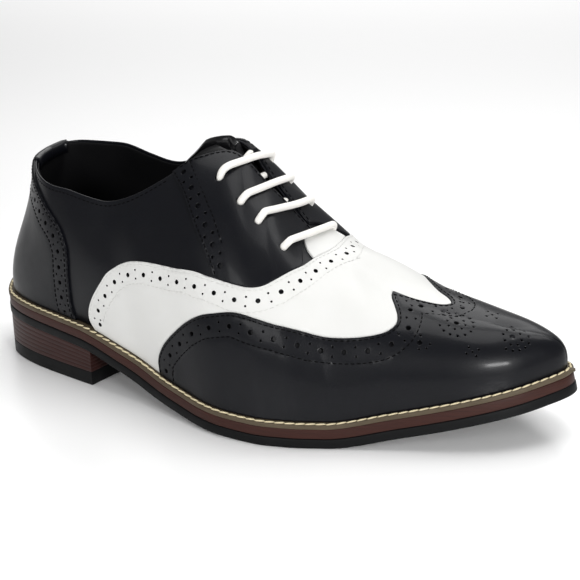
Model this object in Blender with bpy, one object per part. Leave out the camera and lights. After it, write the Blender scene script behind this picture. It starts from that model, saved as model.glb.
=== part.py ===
import bpy
import bmesh
import numpy as np
from mathutils import Vector
from mathutils.geometry import delaunay_2d_cdt

# A wing-tip lace-up shoe for the right foot, standing on its sole. The toe points along +X, the
# lateral side is at -Y, and the floor is z = 0. The origin is under the middle of the shoe, and the
# tables measure from the back of the heel. All sizes are in metres.

for leftover in list(bpy.data.objects):
    bpy.data.objects.remove(leftover, do_unlink=True)

# Driving sizes
LENGTH = 0.308            # outsole, heel to toe
BALL_WIDTH = 0.106        # outsole across the ball
UPPER_HEIGHT = 0.105      # top of the facings above the welt
HEEL_HEIGHT = 0.0225      # floor to the outsole at the back
TOE_SPRING = 0.020        # floor to the outsole at the toe
HEEL_LENGTH_LATERAL = 0.082
HEEL_LENGTH_MEDIAL = 0.090
SHANK_RUN = 0.030         # stretch before the heel in which the sole's edge turns upright
TOPLIFT_HEIGHT = 0.007
OUTSOLE_THICKNESS = 0.0046
MIDSOLE_THICKNESS = 0.0046
WELT_THICKNESS = 0.0021
WELT_LEDGE = 0.0046       # welt that shows outside the upper
HEEL_INSET = 0.0006       # heel block behind the outsole's edge
INSOLE_THICKNESS = 0.0025
MIDSOLE_INSET = 0.0003
WALL = 0.0020             # upper's leather and lining
OVERLAY_THICKNESS = 0.0011
GAP = 0.0003              # clearance between pieces that meet
PANEL_GAP = 0.0007        # clearance of a faceted panel over the faceted upper
PANEL_INSET = 0.00022     # panel's edge inside its seam line
SLIT_END = 0.65           # station of the slit's lower end
RIDGE_RUN = 0.15          # stations before it in which the facings take up the ridge's slope
TONGUE_THICKNESS = 0.0030
TONGUE_RISE = 0.0095      # tongue's free end over the facings
TONGUE_SLACK = 0.0035     # room between the free end and the upper
TONGUE_LEAN = 0.2         # how far the free end leans back, and opens sideways, as it rises
TONGUE_SPREAD = 1.0
TONGUE_CREST = 0.6        # how the rise falls off towards the side edges, lower is flatter
LACE_DIAMETER = 0.0034
SOLE_STATIONS = 40
UPPER_STATIONS = 40
UPPER_STEPS = 10
HEEL_STEPS = 14
STATION_SPAN = 0.48       # length of all stations and of one rib, to lay the panels out flat
HEEL_SPAN = 0.24
RIB_SPAN = 0.085
PANEL_PITCH = 0.0065
EDGE_PITCH = 0.0050
CAP_PITCH = 0.0085
EDGE_CLEARANCE = 0.6      # share of the pitch kept free of points along a panel's edge
TONGUE_ROWS = 9
TONGUE_COLUMNS = 6
LACE_POINTS = 13
SMALL = 1e-6              # stations and steps this close are the same
TIP_STATION = 0.985       # beyond it the ribs run into the ridge, and the surface faces as here

# Station: 0 at the back of the heel, 1 at the tip of the toe, spaced as on a circle so that both
# ends of an outline are round. A table's first column is the station unless it says otherwise.

# Outsole outline. Columns: share of LENGTH, lateral and medial edge as shares of BALL_WIDTH
OUTLINE = (
    (0.00, 0.000, 0.000),
    (0.02, 0.183, 0.142),
    (0.06, 0.322, 0.202),
    (0.12, 0.402, 0.220),
    (0.20, 0.458, 0.196),
    (0.30, 0.512, 0.140),
    (0.36, 0.547, 0.117),
    (0.45, 0.625, 0.158),
    (0.55, 0.692, 0.262),
    (0.60, 0.690, 0.303),
    (0.65, 0.660, 0.315),
    (0.70, 0.602, 0.320),
    (0.80, 0.472, 0.290),
    (0.88, 0.372, 0.240),
    (0.94, 0.260, 0.184),
    (0.98, 0.130, 0.104),
    (1.00, 0.000, 0.000),
)

# Underside of the outsole. Columns: share of LENGTH, share of HEEL_HEIGHT, share of TOE_SPRING
PROFILE = (
    (0.00, 1.00, 0.00),
    (0.24, 0.84, 0.00),
    (0.33, 0.56, 0.00),
    (0.42, 0.25, 0.00),
    (0.51, 0.06, 0.00),
    (0.60, 0.00, 0.00),
    (0.70, 0.00, 0.00),
    (0.80, 0.00, 0.28),
    (0.89, 0.00, 0.60),
    (1.00, 0.00, 1.00),
)

# Top edge of the upper: collar, then the slit's edge, then the ridge over the toes. Columns:
# station, lateral x and medial x as shares of LENGTH, lateral y and medial y as shares of
# BALL_WIDTH, lateral and medial height over the welt as shares of UPPER_HEIGHT
TOP_EDGE = (
    (0.00, 0.080, 0.080, -0.010, -0.010, 0.665, 0.665),
    (0.10, 0.089, 0.084, -0.125, 0.075, 0.658, 0.680),
    (0.20, 0.119, 0.112, -0.255, 0.130, 0.645, 0.700),
    (0.30, 0.182, 0.176, -0.370, 0.140, 0.625, 0.722),
    (0.40, 0.281, 0.281, -0.402, 0.075, 0.672, 0.775),
    (0.45, 0.333, 0.336, -0.386, 0.033, 0.755, 0.825),
    (0.50, 0.395, 0.398, -0.325, -0.033, 0.895, 0.940),
    (0.525, 0.436, 0.436, -0.262, -0.085, 0.985, 1.020),
    (0.55, 0.477, 0.477, -0.198, -0.115, 1.015, 1.045),
    (0.60, 0.538, 0.538, -0.152, -0.110, 0.860, 0.860),
    (0.65, 0.607, 0.607, -0.108, -0.108, 0.645, 0.645),
    (0.70, 0.669, 0.669, -0.140, -0.140, 0.515, 0.515),
    (0.75, 0.733, 0.733, -0.165, -0.165, 0.372, 0.372),
    (0.80, 0.792, 0.792, -0.160, -0.160, 0.285, 0.285),
    (0.85, 0.841, 0.841, -0.140, -0.140, 0.222, 0.222),
    (0.90, 0.880, 0.880, -0.115, -0.115, 0.182, 0.182),
    (0.95, 0.909, 0.909, -0.088, -0.088, 0.152, 0.152),
    (1.00, 0.932, 0.932, -0.070, -0.070, 0.132, 0.132),
)

# How each rib of the last swells. Columns: station, rise at the welt as a share of the rib's
# height, swell at the welt as a share of BALL_WIDTH, reach at the top as a share of the rib's
# width, how much of that reach runs forward, outward reach at the top as a share of BALL_WIDTH,
# drop at the top as a share of the rib's height, rise of the ridge towards the medial side as a slope
SWELL = (
    (0.00, 0.34, 0.020, 0.00, 1.00, 0.000, 0.36, 0.00),
    (0.20, 0.34, 0.025, 0.00, 1.00, 0.020, 0.36, 0.00),
    (0.35, 0.36, 0.030, 0.10, 0.60, 0.060, 0.34, 0.00),
    (0.45, 0.40, 0.030, 0.30, 0.30, 0.060, 0.26, 0.00),
    (0.55, 0.46, 0.030, 0.48, 0.20, 0.020, 0.12, 0.00),
    (0.65, 0.56, 0.030, 0.55, 0.15, 0.000, 0.00, 0.05),
    (0.75, 0.70, 0.025, 0.56, 0.15, 0.000, 0.00, 0.20),
    (0.85, 0.85, 0.015, 0.58, 0.40, 0.000, 0.00, 0.18),
    (0.93, 0.90, 0.010, 0.60, 0.80, 0.000, 0.00, 0.10),
    (1.00, 0.90, 0.010, 0.60, 1.00, 0.000, 0.00, 0.00),
)

# Edges of the leather panels over the upper, from the welt up. Columns: station, step, where step
# is the share of the way from the welt (0) to the top edge or the ridge (1)
VAMP_EDGE = (
    (0.348, 0.000),
    (0.342, 0.060),
    (0.345, 0.150),
    (0.358, 0.280),
    (0.380, 0.430),
    (0.402, 0.540),
    (0.430, 0.605),
    (0.460, 0.605),
    (0.500, 0.525),
    (0.530, 0.450),
    (0.555, 0.415),
    (0.580, 0.430),
    (0.605, 0.500),
    (0.630, 0.625),
    (0.650, 0.760),
    (0.667, 0.890),
    (0.675, 1.000),
)
WING_LATERAL = (
    (0.438, 0.000),
    (0.441, 0.090),
    (0.456, 0.190),
    (0.478, 0.268),
    (0.505, 0.318),
    (0.540, 0.324),
    (0.600, 0.326),
    (0.650, 0.350),
    (0.688, 0.370),
    (0.712, 0.418),
    (0.732, 0.510),
    (0.744, 0.620),
    (0.750, 0.745),
    (0.752, 0.860),
    (0.754, 1.000),
)
WING_MEDIAL = (
    (0.438, 0.000),
    (0.441, 0.090),
    (0.456, 0.190),
    (0.478, 0.268),
    (0.505, 0.318),
    (0.545, 0.332),
    (0.600, 0.350),
    (0.650, 0.400),
    (0.695, 0.480),
    (0.735, 0.600),
    (0.775, 0.730),
    (0.800, 0.790),
    (0.812, 0.850),
    (0.808, 0.920),
    (0.785, 0.972),
    (0.754, 1.000),
)
FACING_EDGE = (
    (0.505, 1.000),
    (0.517, 0.810),
    (0.525, 0.640),
    (0.533, 0.510),
    (0.537, 0.438),
)
FACING_FOOT = (
    (0.6340, 0.650),
    (0.6375, 0.720),
    (0.6375, 1.000),
)
TAB_STATION = 0.650
TAB_EDGE = (
    (0.6515, 0.770),
    (0.6440, 0.800),
    (0.6400, 0.870),
    (0.6440, 0.940),
    (0.6505, 1.000),
)
COUNTER_EDGE = (
    (0.315, 0.000),
    (0.312, 0.120),
    (0.319, 0.330),
    (0.328, 0.500),
    (0.330, 0.600),
    (0.322, 0.720),
    (0.296, 0.820),
    (0.255, 0.905),
    (0.190, 0.960),
    (0.140, 1.000),
)

# Tongue, from its foot to its free end. Columns: share of the way, station and step of its side
# edge, station of its middle, rise over the slit and slack under the upper as shares of
# TONGUE_RISE and TONGUE_SLACK
TONGUE = (
    (0.00, 0.640, 0.900, 0.662, 0.00, 0.05),
    (0.25, 0.602, 0.860, 0.632, 0.00, 0.20),
    (0.50, 0.560, 0.860, 0.612, 0.00, 0.35),
    (0.75, 0.518, 0.890, 0.592, 0.00, 0.55),
    (0.90, 0.478, 0.950, 0.580, 0.40, 0.85),
    (1.00, 0.460, 0.980, 0.571, 1.00, 1.00),
)

# Lace bars. Columns: station and step of the lateral end, station over the slit,
# station and step of the medial end
LACE_BARS = (
    (0.548, 0.822, 0.574, 0.566, 0.828),
    (0.572, 0.744, 0.600, 0.586, 0.796),
    (0.592, 0.716, 0.622, 0.612, 0.792),
    (0.617, 0.674, 0.649, 0.640, 0.794),
)


def column(table, index):
    return np.array([row[index] for row in table])


def curve(xs, ys):
    """A smooth curve through a table's values that never overshoots them."""
    step = np.diff(xs)
    rise = np.diff(ys) / step
    both = rise[:-1] * rise[1:]
    mean = np.where(both > 0, 2 * both / np.where(both > 0, rise[:-1] + rise[1:], 1), 0)
    slope = np.concatenate([rise[:1], mean, rise[-1:]])

    def at(x):
        x = np.asarray(x, float)
        k = np.clip(np.searchsorted(xs, x) - 1, 0, len(xs) - 2)
        f = (x - xs[k]) / step[k]
        ends = ys[k] * (1 + 2 * f) * (1 - f) ** 2 + ys[k + 1] * f * f * (3 - 2 * f)
        return ends + step[k] * f * (1 - f) * ((1 - f) * slope[k] - f * slope[k + 1])
    return at


def station_of(share):
    return np.arccos(1 - 2 * np.asarray(share, float)) / np.pi


def share_of(station):
    return (1 - np.cos(np.pi * np.asarray(station, float))) / 2


OUTLINE_STATIONS = station_of(column(OUTLINE, 0))
EDGE = {-1: curve(OUTLINE_STATIONS, -column(OUTLINE, 1)),
        1: curve(OUTLINE_STATIONS, column(OUTLINE, 2))}
HEEL_SHARE = curve(column(PROFILE, 0), column(PROFILE, 1))
TOE_SHARE = curve(column(PROFILE, 0), column(PROFILE, 2))
TOP = [curve(column(TOP_EDGE, 0), column(TOP_EDGE, k)) for k in range(1, 7)]
RIB = [curve(column(SWELL, 0), column(SWELL, k)) for k in range(1, 8)]
SOLE_THICKNESS = OUTSOLE_THICKNESS + MIDSOLE_THICKNESS + WELT_THICKNESS


def underside(x):
    """Height of the outsole's underside over the floor."""
    share = np.clip(x / LENGTH, 0, 1)
    return HEEL_HEIGHT * HEEL_SHARE(share) + TOE_SPRING * TOE_SHARE(share)


def outline(side, station, inset=0.0):
    """A point of the sole's edge and the edge's outward direction. Side -1 is lateral, 1 medial."""
    def edge(s):
        return np.stack([LENGTH * share_of(s), BALL_WIDTH * EDGE[side](s)], -1)
    station = np.asarray(station, float)
    ahead = edge(np.minimum(station + 1e-4, 1)) - edge(np.maximum(station - 1e-4, 0))
    ahead /= np.linalg.norm(ahead, axis=-1, keepdims=True)
    out = side * np.stack([-ahead[..., 1], ahead[..., 0]], -1)
    tip = (station < SMALL) | (station > 1 - SMALL)
    out = np.where(tip[..., None], np.stack([np.sign(station - 0.5), 0 * station], -1), out)
    return edge(station) - inset * out, out


def on_sole(side, station, inset, height):
    """A point over the sole's edge, square to the sole at that place."""
    flat, out = outline(side, station, inset)
    x = flat[..., 0]
    tilt = np.arctan((underside(x + 1e-4) - underside(x - 1e-4)) / 2e-4)
    tilt = tilt * np.clip((x - HEEL_LENGTH_LATERAL) / SHANK_RUN, 0, 1)
    return np.stack([x - height * np.sin(tilt), flat[..., 1], underside(x) + height * np.cos(tilt)], -1)


def top_edge(side, station):
    """The upper's top edge. In front of the slit both sides share the ridge."""
    lateral, medial = [np.stack([LENGTH * TOP[k](station), BALL_WIDTH * TOP[k + 2](station),
                                 UPPER_HEIGHT * TOP[k + 4](station)], -1) for k in (0, 1)]
    own = lateral if side < 0 else medial
    edge = np.where((station > SLIT_END - SMALL)[..., None], (lateral + medial) / 2, own)
    edge[..., 2] += underside(LENGTH * share_of(station)) + SOLE_THICKNESS
    return edge


def rib_point(side, station, step):
    """A point of the upper's outer surface: step 0 at the welt, 1 at the top edge."""
    station, step = np.broadcast_arrays(np.asarray(station, float), np.asarray(step, float))
    foot = on_sole(side, station, WELT_LEDGE, SOLE_THICKNESS + GAP)
    out = outline(side, station)[1]
    top = top_edge(side, station)
    d = 1e-3
    ahead = top_edge(side, np.minimum(station + d, 1)) - top_edge(side, np.maximum(station - d, 0))
    ridge = ahead[..., 2] / ahead[..., 0] * np.clip((station - SLIT_END) / RIDGE_RUN + 1, 0, 1)
    rise, swell, reach, forward, spread, drop, roll = [part(station) for part in RIB]
    across = foot - top
    height = -across[..., 2]
    flat = across[..., :2]
    lower = foot.copy()
    lower[..., :2] += out * (swell * BALL_WIDTH)[..., None]
    lower[..., 2] += rise * height
    upper = top.copy()
    sideways = flat * np.stack([reach * forward, reach], -1) + out * (spread * BALL_WIDTH)[..., None]
    upper[..., :2] += sideways
    upper[..., 2] += sideways[..., 0] * ridge + sideways[..., 1] * roll - drop * height
    t = step[..., None]
    return (foot * (1 - t) ** 3 + 3 * lower * t * (1 - t) ** 2
            + 3 * upper * t * t * (1 - t) + top * t ** 3)


def rib_normal(side, station, step):
    station, step = np.broadcast_arrays(np.asarray(station, float), np.asarray(step, float))
    station = np.minimum(station, TIP_STATION)
    d = 2e-3
    ahead = rib_point(side, np.minimum(station + d, 1), step)
    along = ahead - rib_point(side, np.maximum(station - d, 0), step)
    above = rib_point(side, station, np.minimum(step + d, 1))
    up = above - rib_point(side, station, np.maximum(step - d, 0))
    normal = side * np.cross(up, along)
    return normal / np.linalg.norm(normal, axis=-1, keepdims=True)


def skin(side, station, step, lift=0.0):
    """A point at a height over the upper's outer surface. Both sides agree where they join."""
    station, step = np.broadcast_arrays(np.asarray(station, float), np.asarray(step, float))
    normal = rib_normal(side, station, step)
    ends = (station < SMALL) | (station > 1 - SMALL)
    joined = ends | ((step > 1 - SMALL) & (station > SLIT_END - SMALL))
    both = normal + rib_normal(-side, station, step)
    both /= np.linalg.norm(both, axis=-1, keepdims=True)
    normal = np.where(joined[..., None], both, normal)
    normal[..., 2] = np.maximum(normal[..., 2], 0)
    normal /= np.linalg.norm(normal, axis=-1, keepdims=True)
    return rib_point(side, station, step) + normal * lift


def leather(name, colour, roughness):
    material = bpy.data.materials.new(name)
    material.use_nodes = True
    shader = material.node_tree.nodes["Principled BSDF"]
    shader.inputs["Base Color"].default_value = (*colour, 1)
    shader.inputs["Roughness"].default_value = roughness
    return material


def place(name, data):
    piece = bpy.data.objects.new(name, data)
    piece.location = CENTRE
    bpy.context.collection.objects.link(piece)


def solid(name, points, faces, material):
    """A closed mesh with its faces outward."""
    mesh = bpy.data.meshes.new(name)
    mesh.from_pydata([tuple(map(float, p)) for p in points], [], faces)
    work = bmesh.new()
    work.from_mesh(mesh)
    bmesh.ops.recalc_face_normals(work, faces=work.faces)
    if work.calc_volume(signed=True) < 0:
        bmesh.ops.reverse_faces(work, faces=work.faces)
    work.to_mesh(mesh)
    work.free()
    mesh.materials.append(material)
    place(name, mesh)


def closed(name, low, high, faces, material):
    """A solid between two surfaces with the same faces. Points that coincide are welded."""
    keys, index = {}, []
    for point in high:
        key = tuple(np.round(point * 1e6).astype(int))
        index.append(keys.setdefault(key, len(index)))
    kept = sorted(set(index))
    order = {old: new for new, old in enumerate(kept)}
    sheet = []
    for face in faces:
        face = [order[index[v]] for v in face]
        face = [v for k, v in enumerate(face) if v != face[k - 1]]
        if len(face) > 2:
            sheet.append(face)
    edges = {(a, b) for face in sheet for a, b in zip(face, face[1:] + face[:1])}
    n = len(kept)
    walls = [[a, b, b + n, a + n] for a, b in edges if (b, a) not in edges]
    points = [low[v] for v in kept] + [high[v] for v in kept]
    outer = [[v + n for v in face] for face in sheet]
    inner = [face[::-1] for face in sheet]
    solid(name, points, outer + inner + walls, material)


def grid_faces(rows, cols, start=0, turned=False):
    faces = []
    for i in range(rows - 1):
        for j in range(cols - 1):
            a = start + i * cols + j
            face = [a, a + cols, a + cols + 1, a + 1]
            faces.append(face[::-1] if turned else face)
    return faces


def trace(points, pitch):
    """A smooth line through a few points of a plane, with a point every pitch, without its end."""
    points = [np.array(p, float) for p in points]
    ends = [2 * points[0] - points[1]] + points + [2 * points[-1] - points[-2]]
    line = []
    for k in range(len(points) - 1):
        a, b, c, d = ends[k:k + 4]
        count = max(1, round(float(np.linalg.norm(c - b)) / pitch))
        for t in np.arange(count) / count:
            square, cube = 2 * a - 5 * b + 4 * c - d, 3 * b - a - 3 * c + d
            line.append((2 * b + (c - a) * t + square * t * t + cube * t ** 3) / 2)
    return line


def inside(loop, point):
    a, b = loop, np.roll(loop, -1, axis=0)
    cross = (a[:, 1] > point[1]) != (b[:, 1] > point[1])
    rise = np.where(cross, b[:, 1] - a[:, 1], 1)
    meet = a[:, 0] + (point[1] - a[:, 1]) * (b[:, 0] - a[:, 0]) / rise
    return np.count_nonzero(cross & (point[0] < meet)) % 2 == 1


def front(plane):
    """A plane whose middle line is the ridge: along it the station, across it the way down."""
    station = np.clip(plane[:, 0] / STATION_SPAN, 0, 1)
    down = np.clip(plane[:, 1] / RIB_SPAN, -1, 1)
    return station, down > 0, 1 - np.abs(down)


def back(plane):
    """A plane whose middle line is the back seam: across it the station, up it the step."""
    station = np.clip(np.abs(plane[:, 0]) / HEEL_SPAN, 0, 1)
    return station, plane[:, 0] > 0, np.clip(plane[:, 1] / RIB_SPAN, 0, 1)


def skin_at(chart, plane, lift):
    station, medial, step = chart(plane)
    lateral_points = skin(-1, station, step, lift)
    return np.where(medial[:, None], skin(1, station, step, lift), lateral_points)


def panel(name, chart, sections, material, pitch=PANEL_PITCH):
    """A leather panel on the upper, from the sections of its edge in a plane of the chart."""
    loop = np.array([p for section in sections for p in trace(section, EDGE_PITCH)])
    area = np.sum(loop[:, 0] * np.roll(loop[:, 1], -1) - loop[:, 1] * np.roll(loop[:, 0], -1))
    along = np.roll(loop, -1, axis=0) - np.roll(loop, 1, axis=0)
    along /= np.linalg.norm(along, axis=1, keepdims=True)
    inward = np.sign(area) * np.stack([-along[:, 1], along[:, 0]], 1)
    tip = loop[:, 0] > STATION_SPAN * (1 - SMALL)
    loop = loop + inward * PANEL_INSET
    loop[tip, 0] = STATION_SPAN
    points = [Vector(p) for p in loop]
    low, high = np.floor(loop.min(0) / pitch), np.ceil(loop.max(0) / pitch)
    for x in np.arange(low[0], high[0]) * pitch:
        for y in np.arange(low[1], high[1]) * pitch:
            gap = np.linalg.norm(loop - (x, y), axis=1).min()
            if gap > pitch * EDGE_CLEARANCE and inside(loop, (x, y)):
                points.append(Vector((x, y)))
    flat, _, faces, _, _, _ = delaunay_2d_cdt(points, [], [list(range(len(loop)))], 1, 1e-7)
    plane = np.array([tuple(p) for p in flat])
    surfaces = [skin_at(chart, plane, lift) for lift in (PANEL_GAP, PANEL_GAP + OVERLAY_THICKNESS)]
    closed(name, *surfaces, faces, material)


def slab(name, low, high, inset, material):
    """A layer of the sole between two heights over its underside."""
    stations = np.linspace(0, 1, SOLE_STATIONS + 1)
    layers = []
    for height in (low, high):
        edges = [on_sole(side, stations, inset, height) for side in (-1, 1)]
        layers.append(np.stack(edges, 1).reshape(-1, 3))
    closed(name, *layers, grid_faces(len(stations), 2), material)


WIDTHS = [outline(side, np.linspace(0, 1, SOLE_STATIONS + 1))[0][:, 1] for side in (-1, 1)]
CENTRE = (-LENGTH / 2, -(WIDTHS[0].min() + WIDTHS[1].max()) / 2, 0)

BLACK = leather("Black smooth leather", (0.013, 0.013, 0.015), 0.32)
WHITE = leather("White smooth leather", (0.86, 0.86, 0.84), 0.42)
LINING = leather("Black lining leather", (0.012, 0.012, 0.013), 0.6)
BROWN = leather("Brown stacked leather", (0.082, 0.036, 0.030), 0.5)
TAN = leather("Tan welt leather", (0.16, 0.13, 0.08), 0.6)
RUBBER = leather("Black rubber", (0.010, 0.011, 0.012), 0.55)
COTTON = leather("White waxed cotton", (0.84, 0.82, 0.78), 0.7)


def make_sole():
    heel = OUTSOLE_THICKNESS
    middle = heel + MIDSOLE_THICKNESS
    top = middle + WELT_THICKNESS
    slab("outsole", 0, heel - GAP, 0, RUBBER)
    slab("midsole", heel, middle - GAP, MIDSOLE_INSET, BROWN)
    slab("welt", middle, top, 0, TAN)
    slab("insole", top + GAP, top + GAP + INSOLE_THICKNESS, WELT_LEDGE + WALL + 2 * GAP, LINING)


def heel_block(name, low, high, material):
    """The heel's block between two heights, each a function of x."""
    share = np.linspace(0, 1, HEEL_STEPS + 1)
    ends = {-1: HEEL_LENGTH_LATERAL, 1: HEEL_LENGTH_MEDIAL}
    edges = [outline(side, share * station_of(ends[side] / LENGTH), HEEL_INSET)[0] for side in (-1, 1)]
    flat = np.stack(edges, 1).reshape(-1, 2)
    layers = [np.column_stack([flat, height(flat[:, 0])]) for height in (low, high)]
    closed(name, *layers, grid_faces(len(share), 2), material)


def make_heel():
    heel_block("heel_toplift", lambda x: 0 * x, lambda x: 0 * x + TOPLIFT_HEIGHT - GAP, RUBBER)
    heel_block("heel_stack", lambda x: 0 * x + TOPLIFT_HEIGHT, lambda x: underside(x) - GAP, BROWN)


def make_upper():
    rows, cols = UPPER_STATIONS + 1, UPPER_STEPS + 1
    stations, steps = np.meshgrid(np.linspace(0, 1, rows), np.linspace(0, 1, cols), indexing="ij")
    surfaces = [np.concatenate([skin(side, stations, steps, lift).reshape(-1, 3) for side in (-1, 1)])
                for lift in (-WALL, 0)]
    faces = grid_faces(rows, cols) + grid_faces(rows, cols, rows * cols, True)
    closed("upper", *surfaces, faces, BLACK)


def on_front(side, table, reverse=False):
    """A table's points in the front plane, for one side of the shoe."""
    points = [(STATION_SPAN * station, side * RIB_SPAN * (1 - step)) for station, step in table]
    return points[::-1] if reverse else points


def make_panels():
    tip = [(STATION_SPAN, -RIB_SPAN), (STATION_SPAN, 0), (STATION_SPAN, RIB_SPAN)]
    cap_edge = [on_front(1, WING_MEDIAL)[0], on_front(-1, WING_LATERAL)[0]]
    panel("wing_cap", front, [
        on_front(1, WING_MEDIAL), on_front(-1, WING_LATERAL, True),
        [cap_edge[-1], tip[0]], tip[:2], tip[1:], [tip[2], cap_edge[0]],
    ], BLACK, CAP_PITCH)
    panel("vamp", front, [
        on_front(-1, VAMP_EDGE), on_front(1, VAMP_EDGE, True),
        [on_front(1, VAMP_EDGE)[0], on_front(1, WING_MEDIAL)[0]],
        on_front(1, WING_MEDIAL), on_front(-1, WING_LATERAL, True),
        [on_front(-1, WING_LATERAL)[0], on_front(-1, VAMP_EDGE)[0]],
    ], WHITE)
    for side, name in ((-1, "facing_lateral"), (1, "facing_medial")):
        low = [point for point in VAMP_EDGE if FACING_EDGE[-1][0] < point[0] < FACING_FOOT[0][0]]
        low = [FACING_EDGE[-1]] + low + [FACING_FOOT[0]]
        panel(name, front, [
            on_front(side, FACING_EDGE), on_front(side, low), on_front(side, FACING_FOOT),
            on_front(side, [FACING_FOOT[-1], FACING_EDGE[0]]),
        ], BLACK)
    edge = [point for point in VAMP_EDGE if point[0] > TAB_STATION]
    panel("throat_tab", front, [
        on_front(-1, TAB_EDGE), on_front(1, TAB_EDGE, True),
        on_front(1, [TAB_EDGE[0]] + edge), on_front(-1, [TAB_EDGE[0]] + edge, True),
    ], WHITE)
    lateral = [(-HEEL_SPAN * station, RIB_SPAN * step) for station, step in COUNTER_EDGE]
    medial = [(-x, y) for x, y in lateral[::-1]]
    panel("counter", back, [lateral, [lateral[-1], medial[0]], medial, [medial[-1], lateral[0]]], BLACK)


def make_tongue():
    rows = np.linspace(0, 1, TONGUE_ROWS)
    wing_station, wing_step, middle_station, rise, slack = [
        curve(column(TONGUE, 0), column(TONGUE, k))(rows)[:, None] for k in range(1, 6)]
    share = np.linspace(0, 1, TONGUE_COLUMNS)[None]
    station = wing_station + (middle_station - wing_station) * share
    step = np.minimum(wing_step + (1 - wing_step) * share, 1 - 1e-3)
    lift = TONGUE_RISE * rise * share ** TONGUE_CREST
    surfaces = []
    for thickness in (TONGUE_THICKNESS, 0):
        depth = WALL + GAP + TONGUE_SLACK * slack + thickness
        halves = []
        for side in (-1, 1):
            half = rib_point(side, station, step) - rib_normal(side, station, step) * depth[..., None]
            half[..., 0] -= TONGUE_LEAN * lift
            half[..., 1] -= side * TONGUE_SPREAD * lift * (1 - share)
            half[..., 2] += lift
            halves.append(half if side < 0 else half[:, ::-1])
        surfaces.append(np.concatenate(halves, 1).reshape(-1, 3))
    closed("tongue", *surfaces, grid_faces(TONGUE_ROWS, 2 * TONGUE_COLUMNS), LINING)


def make_lace():
    """Straight bars of the lace across the slit, above the facings."""
    height = PANEL_GAP + OVERLAY_THICKNESS + 2 * GAP + LACE_DIAMETER / 2
    for number, (lateral, lateral_step, slit, medial, medial_step) in enumerate(LACE_BARS, 1):
        station = curve(np.array([lateral_step - 1, 0, 1 - medial_step]), np.array([lateral, slit, medial]))
        across = np.linspace(lateral_step - 1, 1 - medial_step, LACE_POINTS)
        plane = np.column_stack([STATION_SPAN * station(across), RIB_SPAN * across])
        route = skin_at(front, plane, height)
        bar = bpy.data.curves.new(f"lace_bar_{number}", "CURVE")
        bar.dimensions = "3D"
        bar.bevel_depth = LACE_DIAMETER / 2
        bar.bevel_resolution = 2
        bar.use_fill_caps = True
        spline = bar.splines.new("POLY")
        spline.points.add(len(route) - 1)
        for point, position in zip(spline.points, route):
            point.co = (*position, 1)
        bar.materials.append(COTTON)
        place(bar.name, bar)


make_sole()
make_heel()
make_upper()
make_panels()
make_tongue()
make_lace()
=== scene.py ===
import math

import bmesh
import bpy
import numpy as np
from mathutils import Matrix, Vector, kdtree
from mathutils.geometry import delaunay_2d_cdt


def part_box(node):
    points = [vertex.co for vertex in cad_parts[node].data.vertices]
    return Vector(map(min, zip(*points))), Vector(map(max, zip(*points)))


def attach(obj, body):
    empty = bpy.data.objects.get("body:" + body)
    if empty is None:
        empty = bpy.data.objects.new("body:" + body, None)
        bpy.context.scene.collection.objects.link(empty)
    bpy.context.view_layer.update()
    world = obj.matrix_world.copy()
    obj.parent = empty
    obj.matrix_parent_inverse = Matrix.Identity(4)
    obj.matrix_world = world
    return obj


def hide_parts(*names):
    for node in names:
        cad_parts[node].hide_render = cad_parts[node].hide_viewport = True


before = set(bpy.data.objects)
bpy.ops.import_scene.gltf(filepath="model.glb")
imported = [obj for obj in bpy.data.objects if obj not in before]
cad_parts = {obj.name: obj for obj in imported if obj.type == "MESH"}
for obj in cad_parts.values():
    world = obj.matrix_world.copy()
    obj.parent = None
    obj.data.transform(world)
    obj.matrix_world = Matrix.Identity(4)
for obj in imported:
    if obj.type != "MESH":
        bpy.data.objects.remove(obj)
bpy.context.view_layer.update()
mm = 0.001

# A two-tone wing-tip shoe for the right foot. It stands on its sole with the toe towards +X and the
# lateral side at -Y. A place on the upper is a side (-1 lateral, 1 medial), a station (0 back of the
# heel, 1 tip of the toe) and a step (0 at the welt, 1 at the top edge or the ridge).

soleLow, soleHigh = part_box("outsole")
shoe = {
    "length": soleHigh.x - soleLow.x,
    "ballWidth": 106 * mm,
    "upperHeight": 105 * mm,
    "heelHeight": 22.5 * mm,
    "toeSpring": 20 * mm,
    "heelLateral": 82 * mm,
    "heelMedial": 90 * mm,
    "shankRun": 30 * mm,
    "toplift": 7 * mm,
    "outsole": 4.6 * mm,
    "midsole": 4.6 * mm,
    "welt": 2.1 * mm,
    "weltLedge": 4.6 * mm,
    "gap": 0.3 * mm,
    "wall": 2 * mm,
    "slitEnd": 0.65,
    "ridgeRun": 0.15,
    "stationSpan": 480 * mm,
    "heelSpan": 240 * mm,
    "ribSpan": 85 * mm,
}
shoe["soleThickness"] = shoe["outsole"] + shoe["midsole"] + shoe["welt"]

# share of the length, lateral and medial edge as shares of the ball's width
outlineTable = [
    (0.00, 0.000, 0.000), (0.02, 0.183, 0.142), (0.06, 0.322, 0.202), (0.12, 0.402, 0.220),
    (0.20, 0.458, 0.196), (0.30, 0.512, 0.140), (0.36, 0.547, 0.117), (0.45, 0.625, 0.158),
    (0.55, 0.692, 0.262), (0.60, 0.690, 0.303), (0.65, 0.660, 0.315), (0.70, 0.602, 0.320),
    (0.80, 0.472, 0.290), (0.88, 0.372, 0.240), (0.94, 0.260, 0.184), (0.98, 0.130, 0.104),
    (1.00, 0.000, 0.000),
]
# share of the length, share of the heel's height, share of the toe spring
profileTable = [
    (0.00, 1.00, 0.00), (0.24, 0.84, 0.00), (0.33, 0.56, 0.00), (0.42, 0.25, 0.00), (0.51, 0.06, 0.00),
    (0.60, 0.00, 0.00), (0.70, 0.00, 0.00), (0.80, 0.00, 0.28), (0.89, 0.00, 0.60), (1.00, 0.00, 1.00),
]
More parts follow.
